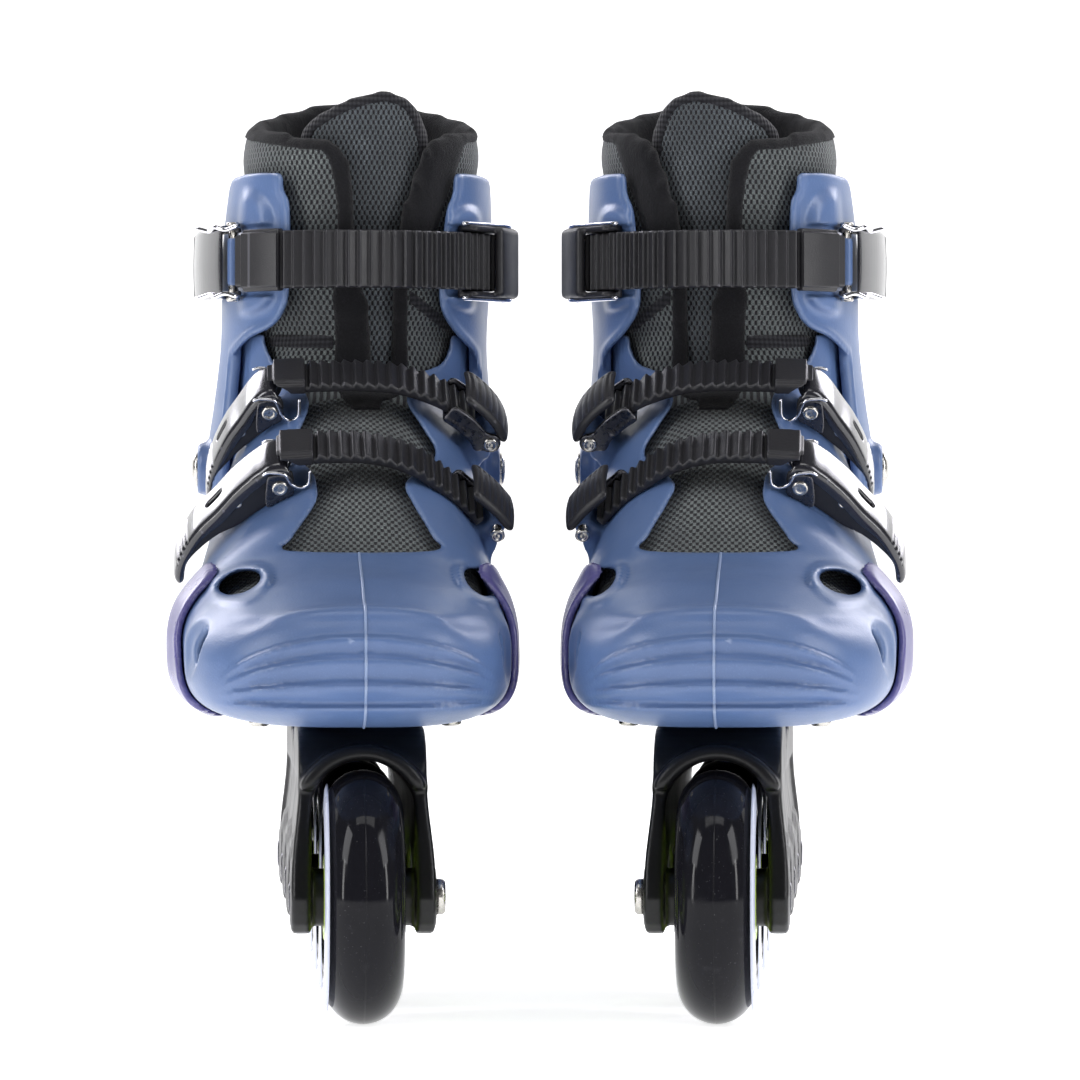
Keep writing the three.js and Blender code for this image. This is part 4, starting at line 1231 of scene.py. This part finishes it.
def make_wheels():
    """Four wheels with their tyres, hubs and bearings, on axles with a head and a nut."""
    tyre = turned(tyre_profile(), 160)
    line = turned([(-0.22, 37.9), (-0.2, 38.08), (0.2, 38.08), (0.22, 37.9), (-0.22, 37.9)], 160)
    side_ring = turned(
        [(-11.75, 26.5), (-11.95, 26.6), (-11.5, 32.5), (-10.9, 34.0), (-10.6, 33.9), (-11.75, 26.5)], 160
    )
    block = Block((-12.6, -24, -24), (12.6, 24, 24), 0.55)
    hub = block.mesh(hub_field(block))
    bearings = join_meshes([bearing(-1), bearing(1)])
    spacer = turned([(-4.9, 4.1), (-4.9, 5.4), (4.9, 5.4), (4.9, 4.1), (-4.9, 4.1)], 32)
    head, tip = RAIL_OUTER + 0.4, RAIL_OUTER + 0.4 + 2.7
    bolt = turned([(-RAIL_OUTER + 0.5, 0.02), (-RAIL_OUTER + 0.5, 3.5), (-RAIL_OUTER + 1, 4), (head, 4),
                   (head, 5.2), (head + 0.25, 5.4), (tip - 0.8, 5.4), (tip, 4.7), (tip, 2.75),
                   (tip - 1.9, 2.7),
                   (tip - 1.9, 0.02)], 48, hexagon=(8, 9))
    nut = turned([(-RAIL_OUTER - 0.9, 0.02), (-RAIL_OUTER - 0.9, 3.4), (-RAIL_OUTER - 0.5, 4.6),
                  (-RAIL_OUTER + 0.45, 4.6), (-RAIL_OUTER + 0.45, 0.02)], 48)
    for i, y in enumerate(AXLE_Y):
        at, body = (0, y, AXLE_Z), f"wheel_{i + 1}"
        add_piece(f"tyre_skin_{i + 1}", moved(tyre, at), MATERIALS["tyre"], body, [f"tyre_{i + 1}"])
        add_piece(f"tyre_line_{i + 1}", moved(line, at), MATERIALS["tyre"], body)
        add_piece(f"side_ring_{i + 1}", moved(side_ring, at), MATERIALS["ring"], body)
        add_piece(f"hub_core_{i + 1}", moved(hub, at), MATERIALS["hub"], body, [f"hub_{i + 1}"])
        add_piece(f"bearings_{i + 1}", moved(bearings, at), MATERIALS["steel"], body,
                  smooth=False)
        add_piece(f"spacer_{i + 1}", moved(spacer, at), MATERIALS["steel"], body)
        add_piece(f"axle_bolt_{i + 1}", moved(bolt, at), MATERIALS["steel"], "boot", [f"axle_{i + 1}"])
        add_piece(f"axle_nut_{i + 1}", moved(nut, at), MATERIALS["dark_steel"], "boot")


# ---------------------------------------------------------------- buckles
STRAP_BASE, STRAP_TOOTH = 2.0, 1.6
LEVERS = {
    "toe": [(-22.5, 167.6), (-27.5, 167.0), (-31.3, 164.3), (-34.2, 161.8), (-39.4, 156.4), (-44.9, 149.3),
            (-50.8, 142.4), (-54.9, 134.6), (-57.1, 126.1), (-55.8, 122.6), (-53.4, 123.6), (-51.9, 131),
            (-44.1, 139.6), (-36.2, 144.5), (-29.3, 150.1), (-21.5, 155.8), (-19.0, 160), (-19.5, 164.5)],
    "mid": [(-25.5, 168.4), (-29.8, 167), (-33.2, 163.4), (-36.6, 157.6), (-40.8, 150.6), (-44.5, 141.8),
            (-46.4, 134), (-46.9, 127), (-45.6, 125.6), (-44.6, 128.5), (-43.5, 134.5), (-40.6, 139),
            (-34.2, 146.4), (-25.4, 153.5), (-21.8, 160), (-22.3, 165)],
    "top": [(-36, -21.8), (-41, -23), (-44.6, -30), (-48.6, -43), (-50.6, -56), (-50.4, -68), (-49, -73.5),
            (-46, -73.5), (-44.6, -66), (-44.4, -56), (-43, -46), (-39.6, -36), (-35.6, -28), (-34.6, -24)],
}
COVERS = {  # the lever's outer line, from its tip to its hinge
    "toe": [(-57.1, 126.1), (-54.9, 134.6), (-50.8, 142.4), (-44.9, 149.3), (-39.4, 156.4), (-31.3, 164.3),
            (-22.5, 167.8)],
    "mid": [(-46.9, 127), (-46.4, 134), (-44.5, 141.8), (-40.8, 150.6), (-36.6, 157.6), (-33.2, 163.4),
            (-25.5, 168.6)],
    "top": [(-49.6, -73.5), (-50.6, -60), (-49.6, -46), (-46, -33), (-40, -22)],
}
CHANNEL_SHIFT = {"toe": (1.6, -1.7), "mid": (1.8, -1.5), "top": (2.3, 0)}
SLOT_PLACE = {"toe": 27.5, "mid": 22.0, "top": None}
SMALL_RIVET = {"toe": (-37.3, 153.4), "mid": (-35.8, 152.8), "top": None}
EARS = {
    "toe": [(-28, 162), (-26.5, 164.4), (-21.5, 164.4), (-19.8, 162), (-19.6, 157.5), (-24, 154.8),
            (-28, 153)],
    "mid": [(-30.6, 163), (-29, 165.2), (-24.4, 165.2), (-22.6, 163), (-22.4, 158.4), (-26.8, 155.6),
            (-30.6, 153.6)],
}
CATCHES = {  # the bent spring wire beside the hinge
    "toe": [(-28.9, 164.6), (-27.1, 165.4), (-22.6, 164.8), (-21.2, 162.8), (-20.4, 161.4), (-18.8, 160.3),
            (-16.8, 160), (-15.1, 161.1), (-14.6, 162.8), (-14.5, 165.8)],
    "mid": [(-31.6, 165.4), (-29.6, 166), (-25.4, 165.4), (-24, 163.4), (-23, 160.6), (-21.4, 158.4),
            (-19.4, 157.8), (-17.6, 159.4), (-17.2, 161.6), (-17.2, 165.4)],
}
RIVET_OUT = 0.9


BUCKLE_STEP = 0.42  # mm between the points of a buckle's block


def buckle_block(low, high, half, step=BUCKLE_STEP):
    """A block round a buckle's outline, to half each way across it."""
    return Block((*low, -half), (*high, half), step)


def strap_profile(buckle, along):
    """The strap's thickness and half width along its line: a neck, a head block and then the teeth."""
    head = 0.165 * buckle.line.length
    pitch = 3.55 if buckle is not TOP else 3.45
    share = ((along - head - 1.2) / pitch) % 1
    tooth = STRAP_TOOTH * np.minimum(share / 0.22, (1 - share) / 0.78)
    teeth = STRAP_BASE + tooth * step_up(along, head + 1, head + 1.4)
    is_head = step_up(along, 2.6, 2.9) * (1 - step_up(along, head, head + 0.35))
    neck = 3.4 + 0.35 * step_up(along, -2, 2.6)
    high = np.where(along < 2.75, neck, np.where(along < head + 0.2, 4.5, teeth))
    wide = buckle.half + 0.7 * is_head
    narrow = 5.2 if buckle is not TOP else 8.4
    wide = np.where(along < 2.6, narrow, wide)
    return high, wide, is_head


def make_strap(buckle, boot):
    """A toothed strap with its head block and the neck that meets the lever."""
    low, high = buckle.line.points.min(0) - 9, buckle.line.points.max(0) + 9
    block = buckle_block(low, high, buckle.half + 2.2)
    u, v, w = block.x, block.y, block.z
    along, out = buckle.line.measure(u, v)
    high, wide, is_head = strap_profile(buckle, along)
    ledge = 1.1 * is_head * step_up(np.abs(w), buckle.half - 0.75, buckle.half - 0.55)
    ends = np.maximum(-2.0 - along, along - 0.93 * buckle.line.length)
    shape = meet(np.maximum(out - high + ledge, -out - 0.1), ends, 0.8)
    shape = meet(shape, np.abs(w) - wide, 0.8)
    # The space that the lever sweeps as it opens stays free.
    hu, hv = buckle.hinge
    reach = np.hypot(u - hu, v - hv)
    shape = cut(shape, reach - (5.2 if buckle is TOP else 8.9), 0.5)
    if buckle is not TOP:
        shape = cut(shape, np.maximum(reach - 11.6, u - hu + 1.2), 0.4)
    shape = cut(shape, boot(buckle, block) - 0.35, 0.5)
    name = buckle.name
    made = buckle.placed(largest(block.mesh(shape)))
    add_piece(f"{name}_ladder", made, MATERIALS["strap"], f"{name}_strap", [f"{name}_strap"])


def clear_of(field, block):
    """A reader of a field of the skate's frame at a buckle block's points."""

    def read(buckle, points):
        u, v, w = np.meshgrid(points.x.ravel(), points.y.ravel(), points.z.ravel(), indexing="ij")
        return block.read(field, *np.moveaxis(buckle.place(u, v, w), -1, 0)).astype(np.float32)
    return read


def lever_shape(buckle, block, half, inset=0.0):
    """The lever's outline, and the channel inside it."""
    u, v, w = block.x, block.y, block.z
    points = np.array(LEVERS[buckle.name])
    body = outline(points, u, v, smooth=True) + inset
    hollow = outline(points + np.array(CHANNEL_SHIFT[buckle.name]), u, v, smooth=True)
    hollow = meet(hollow, np.abs(w) - half + 1.7, 0.8)
    return body, hollow


def make_lever(buckle, boot):
    """A lever: its glossy cover and the two cheeks below."""
    name, half = buckle.name, buckle.lever_half
    points = np.array(LEVERS[name])
    block = buckle_block(points.min(0) - 3, points.max(0) + 3, half + 2)
    u, v, w = block.x, block.y, block.z
    along, out = Line(COVERS[name]).measure(u, v)
    hu, hv = buckle.hinge
    clear = boot(buckle, block) - 0.4
    # The glossy cover: the roof of the channel and a flange down each side, with finger grooves at its tip.
    body, hollow = lever_shape(buckle, block, half)
    gripped = step_up(along, 3.5, 4.5) * (1 - step_up(along, 13, 14))
    grooves = 0.3 * np.cos(2 * math.pi * along / 2.2) * gripped
    bow = 0.5 * (w / half) ** 2
    cover = meet(body + grooves * (np.abs(w) < half - 1.2) + bow, np.abs(w) - half, 2.6)
    flange = 3.6 + 1.2 * step_up(along, 12, 30)
    cover = meet(cover, -out - flange, 1.2)
    cover = cut(cover, hollow, 0.8)
    if SLOT_PLACE[name]:
        slot = np.hypot(np.maximum(np.abs(along - SLOT_PLACE[name]) - 2.4, 0), w) - 1.25
        cover = cut(cover, meet(slot, -out - 6, 0.5), 0.9)
    if name == "top":  # nothing but the cheeks' round ends may pass the hinge, or it would meet the cuff
        past = np.maximum(3.2 - np.hypot(u - hu, v - hv), (hu - u) * 0.225 + (hv - v) * 0.974)
        clear = np.minimum(clear, past)
        cover = cut(cover, np.hypot(u - hu, v - hv) - 3.4, 0.6)
    made = buckle.placed(largest(block.mesh(cut(cover, clear, 0.4))))
    add_piece(f"{name}_lever_cover", made, MATERIALS["lever"], f"{name}_lever", [f"{name}_lever"])
    # The body: two cheeks down to the boot, set back under the flanges.
    body, hollow = lever_shape(buckle, block, half - 0.9, 0.5)
    cheeks = meet(body, np.abs(w) - half + 0.9, 1.4)
    cheeks = cut(cheeks, hollow, 0.8)
    cheeks = meet(cheeks, out + flange - 1.4, 0.6)
    made = buckle.placed(block.mesh(cut(cheeks, clear, 0.4)))
    add_piece(f"{name}_lever_cheeks", made, MATERIALS["strap"], f"{name}_lever")


def rivet(buckle, at, radius, out):
    """A domed rivet head on each side of a buckle, with a raised rim and a dimple."""
    rim = [(out - 0.6, 0.02), (out - 0.6, radius), (out + 0.35, radius), (out + 0.75, radius * 0.86),
           (out + 0.75, radius * 0.6), (out + 0.45, radius * 0.5), (out + 0.55, radius * 0.25),
           (out + 0.6, 0.02)]
    parts = []
    for side in (-1, 1):
        points, quads = turned([(side * x, r) for x, r in rim], 36)
        w, u, v = points.T
        parts.append(buckle.placed((np.stack([u + at[0], v + at[1], w], -1), quads)))
    return join_meshes(parts)


def pin(buckle, at, radius, half):
    """A plain pin across a buckle."""
    points, quads = turned([(-half, 0.02), (-half, radius), (half, radius), (half, 0.02)], 32)
    w, u, v = points.T
    return buckle.placed((np.stack([u + at[0], v + at[1], w], -1), quads))


def make_hinge(buckle):
    """The rivets, the ears and the spring wire of the two lower levers."""
    name, half = buckle.name, buckle.lever_half
    if name == "top":
        rivets = rivet(buckle, buckle.hinge, 2.2, half + 0.1)
        head = join_meshes([rivets, pin(buckle, buckle.hinge, 1.5, half)])
        add_piece("top_lever_pin", head, MATERIALS["steel"], "cuff")
        for side in (-1, 1):
            bail = [(-37, -20.5), (-40.5, -24.5), (-44, -27.5), (-45.5, -33), (-49.5, -38), (-51.4, -45)]
            line = [(*p, side * (half - 0.6 - 1.1 * (i in (1, 3)))) for i, p in enumerate(bail)]
            shape = buckle.wire(line, 0.75)
            add_piece(f"top_bail_{'upper' if side < 0 else 'lower'}", shape, MATERIALS["chrome"], "top_lever")
        return
    rivets = rivet(buckle, buckle.hinge, 2.5, half + RIVET_OUT)
    head = join_meshes([rivets, pin(buckle, buckle.hinge, 1.5, half)])
    add_piece(f"{name}_lever_pin", head, MATERIALS["steel"], "boot")
    small = rivet(buckle, SMALL_RIVET[name], 1.75, half - 1.0)
    add_piece(f"{name}_lever_rivet", small, MATERIALS["steel"], f"{name}_lever")
    ear = np.array(EARS[name], float)
    block = buckle_block(ear.min(0) - 2, ear.max(0) + 2, half + 2.2, 0.35)
    u, v, w = block.x, block.y, block.z
    plate = np.maximum(half + 0.05 - np.abs(w), np.abs(w) - half - RIVET_OUT)
    shape = meet(outline(ear, u, v, smooth=True), plate, 0.4)
    ears = buckle.placed(block.mesh(shape))
    add_piece(f"{name}_lever_ears", ears, MATERIALS["dark_steel"], "boot")
    wires = []
    for side in (-1, 1):
        wires.append(buckle.wire([(*p, side * (half + 0.5)) for p in CATCHES[name]], 0.5))
    add_piece(f"{name}_catch_wire", join_meshes(wires), MATERIALS["chrome"], "boot")


def make_receiver(buckle, boot):
    """A receiver with its cheeks, floor, release tab and bolt."""
    name, half, line = buckle.name, buckle.half, buckle.line
    bu, bv = buckle.bolt
    block = buckle_block((line.at(0.74 * line.length)[0] - 4, bv - 8), (bu + 14, bv + 22), half + 3.2)
    if name == "top":
        block = buckle_block((26, bv - 10), (58, bv + 26), half + 3.2)
    u, v, w = block.x, block.y, block.z
    along, out = line.measure(u, v)
    inner, outer = half + 0.4, half + 2.2
    cheek = np.maximum(inner - np.abs(w), np.abs(w) - outer)
    clear = boot(buckle, block) - 0.35
    start = 0.78 * line.length
    top = 4.4 if buckle is not TOP else 5.4
    sides = meet(np.maximum(out - top, -1.9 - out), np.maximum(start - along, along - line.length - 1), 2)
    sides = join(sides, np.hypot(u - bu, v - bv) - 3.3, 1.5)
    shape = meet(sides, cheek, 0.6)
    floor_reach = np.maximum(start - along, along - 0.91 * line.length)
    floor = meet(np.maximum(out + 0.35, -1.9 - out), floor_reach, 0.4)
    shape = join(shape, meet(floor, np.abs(w) - outer, 0.4), 0.8)
    reach = np.maximum(0.8 * line.length - along, along - 1.03 * line.length)
    arch = 0.9 * (w / outer) ** 2
    tab = meet(np.maximum(out - 10.4 + arch, 7.5 - arch - out), reach, 2.6)
    if buckle is TOP:
        tab = meet(np.maximum(out - 7.9, 4.9 - out), np.maximum(reach, 0.885 * line.length - along), 1.5)
    ribs = 0.35 * np.maximum(0, np.cos(2 * math.pi * along / 2.3)) * (np.abs(w) < half)
    tab = meet(tab + ribs * (out > 8.5), np.abs(w) - outer, 2.2)
    if buckle is TOP:
        shape = join(shape, tab, 1)
        made = buckle.placed(largest(block.mesh(cut(shape, clear, 0.4))))
        add_piece("top_catch", made, MATERIALS["strap"], "top_strap", ["top_receiver"])
        loops = []
        for side in (-1, 1):
            ends = [line.at(0.76 * line.length, 2.6), line.at(0.86 * line.length, 3.4),
                    line.at(0.97 * line.length, 6.3), line.at(1.0 * line.length, 3.0)]
            loops.append(buckle.wire([(*p, side * (outer + 0.5)) for p in ends], 0.8))
        add_piece("top_catch_wire", join_meshes(loops), MATERIALS["chrome"], "top_strap")
    else:
        made = buckle.placed(largest(block.mesh(cut(shape, clear, 0.4))))
        add_piece(f"{name}_catch", made, MATERIALS["dark_steel"], f"{name}_strap", [f"{name}_receiver"])
        made = buckle.placed(block.mesh(tab))
        add_piece(f"{name}_release_tab", made, MATERIALS["strap"], f"{name}_release", [f"{name}_release"])
    bolt = join_meshes([rivet(buckle, buckle.bolt, 2.3, outer + 0.1), pin(buckle, buckle.bolt, 1.6, outer)])
    holder = "cuff" if name == "top" else "boot"
    add_piece(f"{name}_strap_bolt", bolt, MATERIALS["steel"], holder)


# ---------------------------------------------------------------- small hard pieces
def make_mould_line(block, skin):
    """The fine raised line where the toe cap's mould halves met."""
    line, reach = [], np.arange(5, 80, 0.25)
    for turn in np.radians(np.linspace(122, -30, 170)):
        y, z = -100 - reach * math.cos(turn), 106 + reach * math.sin(turn)
        gap = block.read(skin, 0 * y, y, z)
        i = int(np.flatnonzero(gap > 0)[0])
        share = gap[i - 1] / (gap[i - 1] - gap[i])
        line.append((0, y[i - 1] + share * (y[i] - y[i - 1]), z[i - 1] + share * (z[i] - z[i - 1])))
    ridge = wire(line, 0.45, sides=8, smooth=False)
    add_piece("mould_line", ridge, MATERIALS["line"], "boot")


def bolt_head(at, out, radius=4.2, high=1.6):
    """A domed hexagon-socket bolt head at a point, facing along out."""
    profile = [(-0.6, 0.02), (-0.6, radius), (high * 0.35, radius), (high * 0.85, radius * 0.78),
               (high, radius * 0.55), (high, radius * 0.4), (high - 1.1, radius * 0.38), (high - 1.1, 0.02)]
    points, quads = turned(profile, 36, hexagon=(5, 6))
    turn = np.array(Vector((1, 0, 0)).rotation_difference(Vector(out)).to_matrix())
    points = points @ turn.T + np.array(at)
    return points, outward(points, quads)


def make_bolts(foot_block, shell_skin, cuff_block, cuff_skin):
    """The cuff's pivots and the screws under the front of the sole."""
    pivots = []
    for side in (-1, 1):
        at = cuff_block.snap(cuff_skin, [(side * 50.5, *CUFF_PIVOT)], 0.0)[0]
        pivots.append(bolt_head(at, (side, 0, 0), 5.6, 1.8))
    add_piece("cuff_pivots", join_meshes(pivots), MATERIALS["steel"], "cuff")
    nuts = [turned([(side * 36, 0.02), (side * 36, 6.5), (side * 38.8, 6.5), (side * 38.8, 0.02)], 36,
                   at=(0, *CUFF_PIVOT)) for side in (-1, 1)]
    add_piece("cuff_pivot_nuts", join_meshes(nuts), MATERIALS["dark_steel"], "boot")
    small = []
    for spot in foot_block.snap(shell_skin, [(-31, -108, 89), (27, -108, 89)]):
        small.append(bolt_head(spot, (0, 0, -1), 3.2, 1.3))
    add_piece("guard_screws", join_meshes(small), MATERIALS["steel"], "boot")


def make_insole(block, foot):
    """The footbed inside the liner."""
    y, z = block.y, block.z
    rise = FOOTBED + 2.2 + 8.5 * step_up(y, -30, 55)
    shape = meet(meet(foot + 12.2, z - rise, 2), FOOTBED + 0.3 - z, 1)
    made = largest(block.mesh(shape))
    add_piece("insole", made, MATERIALS["binding"], "boot", layers=weave_layer(made[0]))


# ---------------------------------------------------------------- the pair
def make_pair():
    """Both skates, from the shells to the buckles."""
    foot_block = Block((-66, -160, 80), (66, 126, 218), 0.95)
    foot, ankle = foot_field(foot_block), ankle_field(foot_block)
    shell, shell_skin = make_shell(foot_block, foot, ankle)
    add_piece("shell_skin", shell, MATERIALS["shell"], "boot", ["shell"])
    guard = make_guard(foot_block, foot)
    add_piece("guard_skin", guard, MATERIALS["guard"], "boot", ["side_guard"])
    make_mould_line(foot_block, shell_skin)
    cuff_block = Block((-62, -14, 140), (62, 124, 282), 0.85)
    cuff_ankle = ankle_field(cuff_block)
    cuff, cuff_skin = make_cuff(cuff_block, cuff_ankle)
    add_piece("cuff_skin", cuff, MATERIALS["shell"], "cuff", ["cuff"])
    make_bolts(foot_block, shell_skin, cuff_block, cuff_skin)
    liner = make_liner()
    make_trims(liner)
    make_tongue()
    make_insole(foot_block, foot)
    make_frame()
    make_wheels()
    on_shell, on_cuff = clear_of(foot, foot_block), clear_of(cuff_ankle, cuff_block)
    for buckle in (TOE, MID, TOP):
        boot = on_cuff if buckle is TOP else on_shell
        make_strap(buckle, boot)
        make_lever(buckle, boot)
        make_hinge(buckle)
        make_receiver(buckle, boot)


make_pair()
